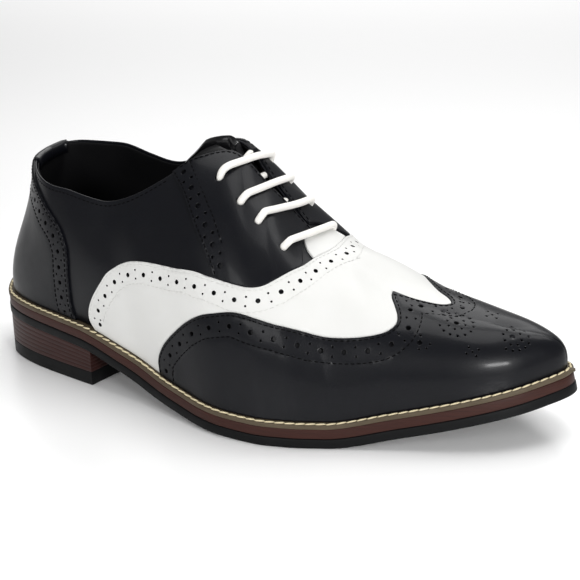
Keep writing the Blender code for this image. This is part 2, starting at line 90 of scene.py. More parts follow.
# station, lateral and medial x (shares of the length), lateral and medial y (shares of the ball's
# width), lateral and medial height over the welt (shares of the upper's height)
topEdgeTable = [
    (0.00, 0.080, 0.080, -0.010, -0.010, 0.665, 0.665),
    (0.10, 0.089, 0.084, -0.125, 0.075, 0.658, 0.680),
    (0.20, 0.119, 0.112, -0.255, 0.130, 0.645, 0.700),
    (0.30, 0.182, 0.176, -0.370, 0.140, 0.625, 0.722),
    (0.40, 0.281, 0.281, -0.402, 0.075, 0.672, 0.775),
    (0.45, 0.333, 0.336, -0.386, 0.033, 0.755, 0.825),
    (0.50, 0.395, 0.398, -0.325, -0.033, 0.895, 0.940),
    (0.525, 0.436, 0.436, -0.262, -0.085, 0.985, 1.020),
    (0.55, 0.477, 0.477, -0.198, -0.115, 1.015, 1.045),
    (0.60, 0.538, 0.538, -0.152, -0.110, 0.860, 0.860),
    (0.65, 0.607, 0.607, -0.108, -0.108, 0.645, 0.645),
    (0.70, 0.669, 0.669, -0.140, -0.140, 0.515, 0.515),
    (0.75, 0.733, 0.733, -0.165, -0.165, 0.372, 0.372),
    (0.80, 0.792, 0.792, -0.160, -0.160, 0.285, 0.285),
    (0.85, 0.841, 0.841, -0.140, -0.140, 0.222, 0.222),
    (0.90, 0.880, 0.880, -0.115, -0.115, 0.182, 0.182),
    (0.95, 0.909, 0.909, -0.088, -0.088, 0.152, 0.152),
    (1.00, 0.932, 0.932, -0.070, -0.070, 0.132, 0.132),
]
# station, then how its rib swells: rise and swell at the welt, reach at the top and how much of it
# runs forward, outward reach, drop at the top, slope of the ridge towards the medial side
swellTable = [
    (0.00, 0.34, 0.020, 0.00, 1.00, 0.000, 0.36, 0.00),
    (0.20, 0.34, 0.025, 0.00, 1.00, 0.020, 0.36, 0.00),
    (0.35, 0.36, 0.030, 0.10, 0.60, 0.060, 0.34, 0.00),
    (0.45, 0.40, 0.030, 0.30, 0.30, 0.060, 0.26, 0.00),
    (0.55, 0.46, 0.030, 0.48, 0.20, 0.020, 0.12, 0.00),
    (0.65, 0.56, 0.030, 0.55, 0.15, 0.000, 0.00, 0.05),
    (0.75, 0.70, 0.025, 0.56, 0.15, 0.000, 0.00, 0.20),
    (0.85, 0.85, 0.015, 0.58, 0.40, 0.000, 0.00, 0.18),
    (0.93, 0.90, 0.010, 0.60, 0.80, 0.000, 0.00, 0.10),
    (1.00, 0.90, 0.010, 0.60, 1.00, 0.000, 0.00, 0.00),
]
# soft troughs and ridges of the leather: side, station, step, half length along the rib and half
# width across it in shares, turn in degrees, height in millimetres
creaseTable = [
    (-1, 0.40, 0.72, 0.20, 0.030, 25, -0.9),
    (-1, 0.46, 0.80, 0.16, 0.022, 10, 0.7),
    (1, 0.42, 0.72, 0.20, 0.030, -10, -0.8),
    (-1, 0.600, 0.62, 0.20, 0.020, 10, 0.6),
    (-1, 0.672, 0.80, 0.16, 0.012, 5, -0.30),
    (1, 0.672, 0.80, 0.16, 0.010, -5, -0.35),
    (-1, 0.700, 0.82, 0.14, 0.012, 5, 0.30),
    (1, 0.700, 0.82, 0.14, 0.012, -5, 0.30),
    (1, 0.560, 0.50, 0.22, 0.028, 10, -0.5),
    (-1, 0.130, 0.60, 0.25, 0.050, 0, -0.4),
    (1, 0.150, 0.60, 0.25, 0.050, 0, -0.4),
]


def tableCurve(xs, ys):  # smooth through a table's values, and never beyond them
    xs, ys = np.array(xs, float), np.array(ys, float)
    run = np.diff(xs)
    rise = np.diff(ys) / run
    both = rise[:-1] * rise[1:]
    mean = np.where(both > 0, 2 * both / np.where(both > 0, rise[:-1] + rise[1:], 1), 0)
    slope = np.concatenate([rise[:1], mean, rise[-1:]])

    def at(x):
        x = np.asarray(x, float)
        k = np.clip(np.searchsorted(xs, x) - 1, 0, len(xs) - 2)
        f = (x - xs[k]) / run[k]
        ends = ys[k] * (1 + 2 * f) * (1 - f) ** 2 + ys[k + 1] * f * f * (3 - 2 * f)
        return ends + run[k] * f * (1 - f) * ((1 - f) * slope[k] - f * slope[k + 1])
    return at


def curvesOf(table):
    columns = list(zip(*table))
    return [tableCurve(columns[0], column) for column in columns[1:]]


def stationOf(share):
    return np.arccos(1 - 2 * np.asarray(share, float)) / math.pi


def shareOf(station):
    return (1 - np.cos(math.pi * np.asarray(station, float))) / 2


lateralEdge, medialEdge = curvesOf([(stationOf(row[0]), -row[1], row[2]) for row in outlineTable])
heelShare, toeShare = curvesOf(profileTable)
topCurves = curvesOf(topEdgeTable)
swellCurves = curvesOf(swellTable)
everyStation = np.linspace(0, 1, 201)
middleY = soleLow.y - lateralEdge(everyStation).min() * shoe["ballWidth"]


def unit(v):
    return v / np.maximum(np.linalg.norm(v, axis=-1, keepdims=True), 1e-12)


def underside(x):  # x from the back of the heel
    share = np.clip(x / shoe["length"], 0, 1)
    return shoe["heelHeight"] * heelShare(share) + shoe["toeSpring"] * toeShare(share)


def outline(side, station, inset=0.0):
    def edge(s):
        y = np.where(side < 0, lateralEdge(s), medialEdge(s))
        return np.stack([shoe["length"] * shareOf(s), shoe["ballWidth"] * y], -1)
    ahead = unit(edge(np.minimum(station + 1e-4, 1)) - edge(np.maximum(station - 1e-4, 0)))
    out = np.stack([-ahead[..., 1] * side, ahead[..., 0] * side], -1)
    tip = (station < 1e-6) | (station > 1 - 1e-6)
    out = np.where(tip[..., None], np.stack([np.sign(station - 0.5), 0 * station], -1), out)
    return edge(station) - np.asarray(inset)[..., None] * out, out


def onSole(side, station, inset, height):
    side, station, inset, height = np.broadcast_arrays(side, np.asarray(station, float), inset, height)
    flat = outline(side, station, inset)[0]
    x = flat[..., 0]
    tilt = np.arctan((underside(x + 1e-4) - underside(x - 1e-4)) / 2e-4)
    tilt = tilt * np.clip((x - shoe["heelLateral"]) / shoe["shankRun"], 0, 1)
    return np.stack([x - height * np.sin(tilt), flat[..., 1], underside(x) + height * np.cos(tilt)], -1)


def topEdge(side, station):
    sides = [np.stack([shoe["length"] * topCurves[k](station), shoe["ballWidth"] * topCurves[k + 2](station),
                       shoe["upperHeight"] * topCurves[k + 4](station)], -1) for k in (0, 1)]
    own = np.where((side < 0)[..., None], sides[0], sides[1])
    edge = np.where((station > shoe["slitEnd"] - 1e-6)[..., None], (sides[0] + sides[1]) / 2, own)
    edge[..., 2] += underside(shoe["length"] * shareOf(station)) + shoe["soleThickness"]
    return edge


def ribPoint(side, station, step):
    foot = onSole(side, station, shoe["weltLedge"], shoe["soleThickness"] + shoe["gap"])
    out = outline(side, station)[1]
    top = topEdge(side, station)
    ahead = topEdge(side, np.minimum(station + 1e-3, 1)) - topEdge(side, np.maximum(station - 1e-3, 0))
    ridge = ahead[..., 2] / ahead[..., 0]
    ridge = ridge * np.clip((station - shoe["slitEnd"]) / shoe["ridgeRun"] + 1, 0, 1)
    rise, swell, reach, forward, spread, drop, roll = [part(station) for part in swellCurves]
    across = foot - top
    lower = foot.copy()
    lower[..., :2] += out * (swell * shoe["ballWidth"])[..., None]
    lower[..., 2] -= rise * across[..., 2]
    sideways = across[..., :2] * np.stack([reach * forward, reach], -1)
    sideways = sideways + out * (spread * shoe["ballWidth"])[..., None]
    upper = top.copy()
    upper[..., :2] += sideways
    upper[..., 2] += sideways[..., 0] * ridge + sideways[..., 1] * roll + drop * across[..., 2]
    t = step[..., None]
    return foot * (1 - t) ** 3 + 3 * lower * t * (1 - t) ** 2 + 3 * upper * t * t * (1 - t) + top * t ** 3


def creaseLift(side, station, step):
    lift = 0 * station
    for creaseSide, atStation, atStep, halfLength, halfWidth, turn, height in creaseTable:
        if creaseSide != side:
            continue
        u = (station - atStation) * shoe["stationSpan"]
        v = (step - atStep) * shoe["ribSpan"]
        turned = math.radians(turn)
        across = (u * math.cos(turned) - v * math.sin(turned)) / (halfWidth * shoe["stationSpan"])
        along = (u * math.sin(turned) + v * math.cos(turned)) / (halfLength * shoe["ribSpan"])
        lift = lift + height * mm * np.exp(-across ** 2 - along ** 2)
    return lift * np.clip(step * 4, 0, 1)


# The outward normals of both sides' grids, which agree at the back seam, the tip and the ridge.
def normalsOf(grids, station, step):
    normals = []
    for side, grid in zip((-1, 1), grids):
        along = np.gradient(grid, axis=0, edge_order=2)
        up = np.gradient(grid, axis=1, edge_order=2)
        normal = unit(side * np.cross(up, along))
        last = int(0.985 * (len(station) - 1))
        normal[last:] = normal[last]
        normals.append(normal)
    s, t = np.meshgrid(station, step, indexing="ij")
    atTip = np.clip((s - 0.985) / 0.015, 0, 1)
    atSeam = np.clip(1 - s / 0.004, 0, 1)
    onRidge = np.clip((t - 0.985) / 0.015, 0, 1) * (s > shoe["slitEnd"] - 1e-6)
    share = np.maximum(np.maximum(atTip, atSeam), onRidge)[..., None] / 2
    joined = [normals[k] * (1 - share) + normals[1 - k] * share for k in (0, 1)]
    for normal in joined:
        normal[..., 2] = np.maximum(normal[..., 2], 0)
    return [unit(normal) for normal in joined]


# Both sides of the upper's outer surface with its creases, as fine grids of points and normals.
def makeSurface(stationCount, stepCount):
    station, step = np.linspace(0, 1, stationCount), np.linspace(0, 1, stepCount)
    s, t = np.meshgrid(station, step, indexing="ij")
    plain = [ribPoint(np.full(s.shape, side), s, t) for side in (-1.0, 1.0)]
    plainNormals = normalsOf(plain, station, step)
    formed = [point + normal * creaseLift(side, s, t)[..., None]
              for side, point, normal in zip((-1, 1), plain, plainNormals)]
    return np.stack(formed) + (soleLow.x, middleY, 0), np.stack(normalsOf(formed, station, step))


surfacePoints, surfaceNormals = makeSurface(801, 201)


# Points of the upper's outer surface, raised by lift, and its normals.
def skin(side, station, step, lift=0.0):
    side, station, step = np.broadcast_arrays(side, np.asarray(station, float), np.asarray(step, float))
    rows, columns = surfacePoints.shape[1] - 1, surfacePoints.shape[2] - 1
    i = np.clip((station * rows).astype(int), 0, rows - 1)
    j = np.clip((step * columns).astype(int), 0, columns - 1)
    u, v = (station * rows - i)[..., None], (step * columns - j)[..., None]
    k = (side > 0).astype(int)

    def between(grid):
        low = grid[k, i, j] * (1 - u) + grid[k, i + 1, j] * u
        return low * (1 - v) + (grid[k, i, j + 1] * (1 - u) + grid[k, i + 1, j + 1] * u) * v
    normal = unit(between(surfaceNormals))
    return between(surfacePoints) + normal * np.asarray(lift)[..., None], normal


def frontChart(plane):  # along the plane the station, across it the way down from the ridge
    down = np.clip(plane[..., 1] / shoe["ribSpan"], -1, 1)
    return np.where(down > 0, 1, -1), np.clip(plane[..., 0] / shoe["stationSpan"], 0, 1), 1 - np.abs(down)


def backChart(plane):  # across the plane the station from the back seam, up it the step
    station = np.clip(np.abs(plane[..., 0]) / shoe["heelSpan"], 0, 1)
    return np.where(plane[..., 0] > 0, 1, -1), station, np.clip(plane[..., 1] / shoe["ribSpan"], 0, 1)


def onChart(chart, plane, lift=0.0):
    return skin(*chart(plane), lift)


def frontLine(side, table):
    return [(shoe["stationSpan"] * s, side * shoe["ribSpan"] * (1 - t)) for s, t in table]


def backLine(side, table):
    return [(side * shoe["heelSpan"] * s, shoe["ribSpan"] * t) for s, t in table]


def smoothLine(points, pitch):  # a smooth line through a few points of the plane
    points = [np.array(p, float) for p in points]
    ends = [2 * points[0] - points[1]] + points + [2 * points[-1] - points[-2]]
    line = []
    for k in range(len(points) - 1):
        a, b, c, d = ends[k:k + 4]
        count = max(1, round(float(np.linalg.norm(c - b)) / pitch))
        for t in np.arange(count) / count:
            line.append((2 * b + (c - a) * t + (2 * a - 5 * b + 4 * c - d) * t * t
                         + (3 * b - a - 3 * c + d) * t ** 3) / 2)
    return np.array(line + [points[-1]])


def metric(chart, plane):  # how the plane stretches over the surface: two tangents at each point
    d = 0.2 * mm
    moves = np.array([[d, 0], [0, d]])
    return np.stack([(onChart(chart, plane + move)[0] - onChart(chart, plane - move)[0]) / (2 * d)
                     for move in moves], -1)


def planeMoves(tangents, moves):  # the plane's moves that make these moves on the surface
    return np.einsum("...ij,...j->...i", np.linalg.pinv(tangents, rcond=1e-3), moves)


def offsetLine(chart, line, distance):  # a line at a real distance to the left of another
    tangents = metric(chart, line)
    points, normals = onChart(chart, line)
    ahead = unit(np.gradient(points, axis=0))
    return line + planeMoves(tangents, np.cross(normals, ahead) * distance)


def nearest(points, targets):  # distance to the nearest target, and which
    tree = kdtree.KDTree(len(targets))
    for k, target in enumerate(targets):
        tree.insert(target, k)
    tree.balance()
    found = [tree.find(p) for p in points]
    return np.array([f[2] for f in found]), np.array([f[1] for f in found])


def roomTo(targets, chart, places):  # distance of places of the plane to the nearest target in space
    return nearest(onChart(chart, places)[0], targets)[0]


# a line at a real distance inside an edge, without the loops that a tight bend makes
def insideRow(chart, line, distance):
    row = offsetLine(chart, line, distance)
    return row[roomTo(onChart(chart, line)[0], chart, row) > 0.93 * abs(distance)]


def evenPlaces(chart, line, pitch, start=0.0, end=0.0):
    points = onChart(chart, line)[0]
    run = np.concatenate([[0], np.cumsum(np.linalg.norm(np.diff(points, axis=0), axis=1))])
    count = max(1, round((run[-1] - start - end) / pitch))
    places = np.linspace(start, run[-1] - end, count + 1)
    return np.stack([np.interp(places, run, line[:, k]) for k in (0, 1)], -1)


def insideLoop(loop, points):
    count = np.zeros(len(points), int)
    for a, b in zip(loop, np.roll(loop, -1, axis=0)):
        crosses = (a[1] > points[:, 1]) != (b[1] > points[:, 1])
        meet = a[0] + (points[:, 1] - a[1]) * (b[0] - a[0]) / (b[1] - a[1] if b[1] != a[1] else 1)
        count += crosses & (points[:, 0] < meet)
    return count % 2 == 1


def gridFaces(rows, columns, closed=True, first=0):  # quads between rows of points: rings, or open strips
    return [[first + i * columns + j, first + i * columns + (j + 1) % columns,
             first + (i + 1) * columns + (j + 1) % columns, first + (i + 1) * columns + j]
            for i in range(rows - 1) for j in range(columns if closed else columns - 1)]


def rimEdges(faces):  # the edges that only one face has
    edges = {(a, b) for f in faces for a, b in zip(f, f[1:] + f[:1])}
    return [(a, b) for a, b in edges if (b, a) not in edges]


def addObject(name, data):
    added = bpy.data.objects.new(name, data)
    bpy.context.scene.collection.objects.link(added)
    return added


def finishMesh(name, points, faces, material, replaced=(), normals=None):
    mesh = bpy.data.meshes.new(name)
    mesh.from_pydata(np.asarray(points).tolist(), [], faces)
    piece = addObject(name, mesh)
    mesh.polygons.foreach_set("use_smooth", [True] * len(mesh.polygons))
    if normals is not None:
        mesh.normals_split_custom_set_from_vertices(np.asarray(normals).tolist())
    mesh.materials.append(material)
    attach(piece, "root")
    if replaced:
        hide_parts(*replaced)
    print(name, sum(len(face) - 2 for face in faces), "triangles")
    return piece


# Turns a closed mesh's faces outwards, after a weld, and may round its sharp rims.
def closeMesh(piece, weld=0.0, rimRound=0.0):
    work = bmesh.new()
    work.from_mesh(piece.data)
    if weld:
        bmesh.ops.remove_doubles(work, verts=work.verts, dist=weld)
    bmesh.ops.recalc_face_normals(work, faces=work.faces)
    if work.calc_volume(signed=True) < 0:
        bmesh.ops.reverse_faces(work, faces=work.faces)
    if rimRound:
        rim = [e for e in work.edges if e.calc_face_angle(0) > math.radians(60)]
        bmesh.ops.bevel(work, geom=rim, offset=rimRound, segments=2, affect="EDGES", profile=0.5,
                        clamp_overlap=True)
    for face in work.faces:
        face.smooth = True
    work.to_mesh(piece.data)
    work.free()


def linearColour(code):
    parts = [int(code[k:k + 2], 16) / 255 for k in (1, 3, 5)]
    return [p / 12.92 if p <= 0.04045 else ((p + 0.055) / 1.055) ** 2.4 for p in parts] + [1]


def addNode(tree, kind, links=(), **settings):
    node = tree.nodes.new("ShaderNode" + kind)
    for key, value in settings.items():
        if hasattr(node, key):
            setattr(node, key, value)
        else:
            node.inputs[key.replace("_", " ")].default_value = value
    for socket, source in dict(links).items():
        tree.links.new(source, node.inputs[socket])
    return node


def newMaterial(name, colour, roughness, **settings):
    material = bpy.data.materials.new(name)
    material.use_nodes = True
    shader = material.node_tree.nodes["Principled BSDF"]
    shader.inputs["Base Color"].default_value = linearColour(colour)
    shader.inputs["Roughness"].default_value = roughness
    for key, value in settings.items():
        shader.inputs[key.replace("_", " ")].default_value = value
    return material, material.node_tree, shader


# Smooth chrome-tanned leather. Fine pebbles and pores break up its highlight, and its tone and
# polish drift a little over some 9 mm, as on a hand-finished hide.
def makeLeather(name, colour, shade, roughness, grain, depth, coat=0.0, coatRoughness=0.5, specular=0.25):
    material, tree, shader = newMaterial(name, colour, roughness, Specular_IOR_Level=specular,
                                         Coat_Weight=coat, Coat_Roughness=coatRoughness)
    place = addNode(tree, "TexCoord").outputs["Object"]
    cells = addNode(tree, "TexVoronoi", {"Vector": place}, Scale=1 / grain, Randomness=1.0)
    pebble = addNode(tree, "TexNoise", {"Vector": place}, Scale=0.4 / grain, Detail=6.0, Roughness=0.6)
    folds = addNode(tree, "TexNoise", {"Vector": place}, Scale=1 / (9 * mm), Detail=3.0).outputs["Fac"]
    tone = addNode(tree, "MixRGB", {"Fac": folds}, Color1=linearColour(colour), Color2=linearColour(shade))
    polish = addNode(tree, "MapRange", {"Value": folds}, From_Min=0.3, From_Max=0.7,
                     To_Min=roughness * 0.88, To_Max=roughness * 1.12)
    height = addNode(tree, "Math", {0: cells.outputs["Distance"], 1: pebble.outputs["Fac"]}, operation="ADD")
    bump = addNode(tree, "Bump", {"Height": height.outputs["Value"]}, Distance=depth, Strength=0.35)
    tree.links.new(tone.outputs["Color"], shader.inputs["Base Color"])
    tree.links.new(polish.outputs["Result"], shader.inputs["Roughness"])
    tree.links.new(bump.outputs["Normal"], shader.inputs["Normal"])
    return material


# Waxed and brushed calf: a faint coat gives a soft, long highlight on a deep black.
blackLeather = makeLeather("Black polished calf leather", "#0f1015", "#0b0c10", 0.36, 0.55 * mm, 0.07 * mm,
                           coat=0.12, coatRoughness=0.14, specular=0.14)
# Pigmented calf: an even, slightly warm white with a broad, dull sheen.
whiteLeather = makeLeather("White smooth calf leather", "#dadad8", "#d6d6d3", 0.5, 0.6 * mm, 0.03 * mm,
                           coat=0.05, coatRoughness=0.3)
# Uncoated lining: dull, so that the inside of the shoe stays dark. The same dark material is painted on the
# walls of the punched holes as shade.
liningLeatherAndHoleShade = makeLeather("Black lining leather", "#0d0d0f", "#0a0a0b", 0.7, 0.8 * mm, 0.05 * mm,
                            specular=0.12)
# Glazed kid: the smoothest of the blacks, with a tight shine on the tongue's fold.
tongueLeather = makeLeather("Black glazed leather", "#0f0f11", "#0c0c0e", 0.34, 0.55 * mm, 0.03 * mm,
                            coat=0.2, coatRoughness=0.15)
# Oiled welt leather: matt tan with visible pores.
weltLeather = makeLeather("Tan oiled welt leather", "#5c5141", "#463d2f", 0.55, 0.5 * mm, 0.08 * mm)
# Moulded rubber: an even, dull black with the mould's fine texture.
soleRubber = makeLeather("Black moulded rubber", "#0d0e0f", "#0a0b0c", 0.5, 0.4 * mm, 0.03 * mm,
                         specular=0.14)


# Stacked sole leather, cut and burnished: thin level layers in two browns, with a low shine.
def makeStack(name, colour, shade, layer, roughness):
    material, tree, shader = newMaterial(name, colour, roughness, Specular_IOR_Level=0.22)
    place = addNode(tree, "TexCoord").outputs["Object"]
    level = addNode(tree, "Mapping", {"Vector": place}, Scale=(1, 1, 30)).outputs["Vector"]
    streaks = addNode(tree, "TexNoise", {"Vector": level}, Scale=1 / (9 * layer), Detail=5.0).outputs["Fac"]
    tone = addNode(tree, "MixRGB", {"Fac": streaks}, Color1=linearColour(colour), Color2=linearColour(shade))
    bump = addNode(tree, "Bump", {"Height": streaks}, Distance=0.1 * mm, Strength=0.5)
    tree.links.new(tone.outputs["Color"], shader.inputs["Base Color"])
    tree.links.new(bump.outputs["Normal"], shader.inputs["Normal"])
    return material


stackedLeather = makeStack("Brown stacked leather", "#3d201c", "#21110f", 1.6 * mm, 0.45)
midsoleLeather = makeStack("Brown midsole leather", "#42211a", "#24120d", 1.5 * mm, 0.5)


# Twisted or braided thread, waxed or plain: dull, with small bumps at the pitch of its strands.
def makeThread(name, colour, pitch, specular=0.2):
    material, tree, shader = newMaterial(name, colour, 0.65, Specular_IOR_Level=specular)
    place = addNode(tree, "TexCoord").outputs["Object"]
    twist = addNode(tree, "TexNoise", {"Vector": place}, Scale=1 / pitch, Detail=2.0)
    bump = addNode(tree, "Bump", {"Height": twist.outputs["Fac"]}, Distance=0.1 * mm, Strength=0.4)
    tree.links.new(bump.outputs["Normal"], shader.inputs["Normal"])
    return material


blackThread = makeThread("Black waxed thread", "#050506", 0.4 * mm, 0.05)
whiteThread = makeThread("White waxed thread", "#cfcfcc", 0.4 * mm)
creamThread = makeThread("Cream waxed linen", "#ddd0ad", 0.5 * mm)
laceCotton = makeThread("White braided cotton", "#efede8", 0.5 * mm)

print("sole")
# points along each side, the seam between two layers, how far each layer is set back, and the height
# of the sock over the welt with its gap to the wall
sole = {"stations": 241, "seam": 0.05 * mm, "outsoleInset": 0.1 * mm, "midsoleInset": 0.35 * mm,
        "sock": 2.8 * mm, "sockGap": 0.3 * mm}
outsoleTop = shoe["outsole"]
midsoleTop = outsoleTop + shoe["midsole"]
weltTop = midsoleTop + shoe["welt"]


# Closed rings round the sole. A row is an inset from the outline and a height over its underside.
def soleRings(rows):
    stations = np.linspace(0, 1, sole["stations"])
    return [np.concatenate([onSole(-1.0, stations, inset, height),
                            onSole(1.0, stations[-2:0:-1], inset, height)]) for inset, height in rows]


# A block from its rings, bottom to top, with both ends closed by strips across it.
def loftedBlock(name, rings, material, replaced):
    n = len(rings[0])
    faces = gridFaces(len(rings), n)
    for first, turned in ((0, True), ((len(rings) - 1) * n, False)):
        for j in range(n // 2):
            quad = [first + j, first + j + 1, first + (n - j - 1) % n, first + (n - j) % n]
            quad = [v for i, v in enumerate(quad) if v != quad[i - 1]]
            faces.append(quad[::-1] if turned else quad)
    points = np.concatenate(rings) + (soleLow.x, middleY, 0)
    piece = finishMesh(name, points, faces, material, [replaced])
    closeMesh(piece)
    bpy.context.view_layer.objects.active = piece
    bpy.ops.object.select_all(action="DESELECT")
    piece.select_set(True)
    bpy.ops.object.shade_smooth_by_angle(angle=math.radians(35))


def roundedRows(low, high, inset, radius):
    corner = []
    for angle in (0, 30, 60, 90):
        a = math.radians(angle)
        corner.append((inset + radius * (1 - math.sin(a)), radius * (1 - math.cos(a))))
    return [(across, low + up) for across, up in corner] + [(across, high - up)
                                                            for across, up in corner[::-1]]


sockInset = shoe["weltLedge"] + shoe["wall"] + sole["sockGap"]
for name, low, high, inset, edgeRound, slot, material, replaced in (
    ("outsole_edge", 0, outsoleTop - sole["seam"], sole["outsoleInset"], 0.7 * mm,
     "black_rubber", soleRubber, "outsole"),
    ("midsole_edge", outsoleTop, midsoleTop - sole["seam"], sole["midsoleInset"], 0.4 * mm,
     "brown_leather", midsoleLeather, "midsole"),
    ("welt_strip", midsoleTop, weltTop, 0, 0.5 * mm, "tan_leather", weltLeather, "welt"),
    ("sock_lining", weltTop + shoe["gap"], weltTop + sole["sock"], sockInset, 0.6 * mm,
     "black_lining", liningLeatherAndHoleShade, "insole"),
):
    loftedBlock(name, soleRings(roundedRows(low, high, inset, edgeRound)), material, replaced)

# the block's setback under the outsole's edge, its layers, the groove between two and its rounding
heel = {"stations": 61, "setback": 0.6 * mm, "layers": 6, "groove": 0.12 * mm, "edge": 0.4 * mm}


# Closed rings round the heel. A row is an inset and a height as a function of x.
def heelRings(rows):
    share = np.linspace(0, 1, heel["stations"])
    rings = []
    for inset, height in rows:
        inset += heel["setback"]
        lateral = outline(-1, share * stationOf((shoe["heelLateral"] - inset) / shoe["length"]), inset)[0]
        medial = outline(1, share * stationOf((shoe["heelMedial"] - inset) / shoe["length"]), inset)[0]
        ring = np.concatenate([lateral, medial[:0:-1]])
        rings.append(np.column_stack([ring, height(ring[:, 0])]))
    return rings


liftRows = [(inset, (lambda x, h=height: 0 * x + h)) for inset, height in
            roundedRows(0, shoe["toplift"] - sole["seam"], 0, heel["edge"])]
loftedBlock("toplift_block", heelRings(liftRows), soleRubber, "heel_toplift")
stackRows = []
for layer in range(heel["layers"]):
    for share, inset in ((0.0, heel["groove"]), (0.12, 0), (0.88, 0), (1.0, heel["groove"])):
        level = (layer + share) / heel["layers"]
        stackRows.append((inset, (lambda x, f=level: shoe["toplift"] * (1 - f) + underside(x) * f)))
loftedBlock("stacked_heel", heelRings(stackRows), stackedLeather, "heel_stack")

print("upper")
# counts of points, the step where the rim starts, depths of the outer and inner face in millimetres,
# and the rim between them as steps and depths
quarters = {"stations": 181, "steps": (46, 24), "rimStart": 0.988, "depths": (0.0, 1.1),
            "rim": [(0.995, 0.08), (0.9985, 0.3), (1.0, 0.55), (0.9985, 0.8), (0.995, 1.02)]}
lining = {"stations": 121, "steps": (24, 30), "rimStart": 0.97, "depths": (1.15, shoe["wall"] / mm),
          "rim": [(0.982, 1.25), (0.986, 1.6), (0.982, 1.9)]}


# A closed leather sheet over the whole upper, open at the collar, the slit and the welt.
def makeSheet(name, sheet, material, replaced=()):
    outer, inner = [[(t, depth) for t in np.linspace(0, sheet["rimStart"], count)]
                    for count, depth in zip(sheet["steps"], sheet["depths"])]
    steps, depths = np.array(outer + sheet["rim"] + inner[::-1]).T
    s, t = np.meshgrid(np.linspace(0, 1, sheet["stations"]), steps, indexing="ij")
    grids, faces = [], []
    for side in (-1, 1):
        faces += gridFaces(sheet["stations"], len(steps), first=len(grids) * s.size)
        grids.append(skin(side, s, t, np.broadcast_to(-depths * mm, s.shape))[0].reshape(-1, 3))
    piece = finishMesh(name, np.concatenate(grids), faces, material, replaced)
    closeMesh(piece, weld=0.01 * mm)


makeSheet("quarter_shell", quarters, blackLeather, ["upper"])
makeSheet("foot_lining", lining, liningLeatherAndHoleShade)

print("panels")
# the panels' edges, as station and step
vampEdge = [
    (0.348, 0.000), (0.342, 0.060), (0.345, 0.150), (0.358, 0.280), (0.380, 0.430), (0.402, 0.540),
    (0.430, 0.605), (0.460, 0.605), (0.500, 0.525), (0.530, 0.450), (0.555, 0.415), (0.580, 0.430),
    (0.605, 0.500), (0.630, 0.625), (0.650, 0.760), (0.667, 0.890), (0.675, 1.000),
]
wingLateral = [
    (0.438, 0.000), (0.441, 0.090), (0.456, 0.190), (0.478, 0.268), (0.505, 0.318), (0.540, 0.324),
    (0.600, 0.326), (0.650, 0.350), (0.688, 0.370), (0.712, 0.418), (0.732, 0.510), (0.744, 0.620),
    (0.750, 0.745), (0.752, 0.860), (0.754, 1.000),
]
wingMedial = [
    (0.438, 0.000), (0.441, 0.090), (0.456, 0.190), (0.478, 0.268), (0.505, 0.318), (0.545, 0.332),
    (0.600, 0.350), (0.650, 0.400), (0.695, 0.480), (0.735, 0.600), (0.775, 0.730), (0.800, 0.790),
    (0.812, 0.850), (0.808, 0.920), (0.785, 0.972), (0.754, 1.000),
]
facingEdge = [(0.505, 0.992), (0.517, 0.810), (0.525, 0.640), (0.533, 0.510), (0.537, 0.438)]
facingFoot = [(0.6340, 0.650), (0.6375, 0.720), (0.6375, 0.992)]
tabStation = 0.650
tabEdge = [(0.6515, 0.770), (0.6440, 0.800), (0.6400, 0.870), (0.6440, 0.940), (0.6505, 1.000)]
counterEdge = [
    (0.315, 0.000), (0.312, 0.120), (0.319, 0.330), (0.328, 0.500), (0.330, 0.600), (0.322, 0.720),
    (0.296, 0.820), (0.255, 0.905), (0.190, 0.960), (0.140, 1.000),
]
slitStitches = [(0.512, 0.974), (0.57, 0.974), (0.635, 0.974)]
toplineStitches = [(0.20, 0.968), (0.30, 0.968), (0.40, 0.966), (0.50, 0.964)]
linePitch = 1.1 * mm
stitchRows = {"black": [], "white": []}  # each row: chart, line in the plane, lift
# lace: station and step of the lateral eyelet, station over the slit, station and step of the medial one
laceTable = [
    (0.548, 0.822, 0.574, 0.566, 0.828), (0.572, 0.744, 0.600, 0.586, 0.796),
    (0.592, 0.716, 0.622, 0.612, 0.792), (0.617, 0.674, 0.649, 0.640, 0.794),
]
# radius, height over the slit, radius where it is pressed flat, length of its turn into an eyelet,
# the round stretch under the slit's middle and how much higher that lies
lace = {"radius": 1.7 * mm, "over": 3.6 * mm, "flat": 0.75 * mm, "turn": 3.2 * mm, "glimpse": 3 * mm,
        "glimpseLift": 1.2 * mm, "aside": 4 * mm, "pitch": 0.7 * mm, "eyelet": 2.0 * mm}

# A leather panel: pitch of its inner points, how far its edge is rounded, width of its bare band, the
# room that holes and stitch rows need to the edge, the lip round a hole and its drop, and how wide to
# each side and how deep a stitch row presses its groove.
panel = {"pitch": 1.5 * mm, "edgeRound": 0.5 * mm, "band": 1.1 * mm, "holeRoom": 0.9 * mm,
         "rowRoom": 1.0 * mm, "rowPitch": 1.3 * mm, "rowSides": 0.9 * mm, "pointRoom": 0.6 * mm,
         "lip": 0.28 * mm, "lipDrop": 0.14 * mm, "groove": 1.0 * mm, "grooveDepth": 0.12 * mm}


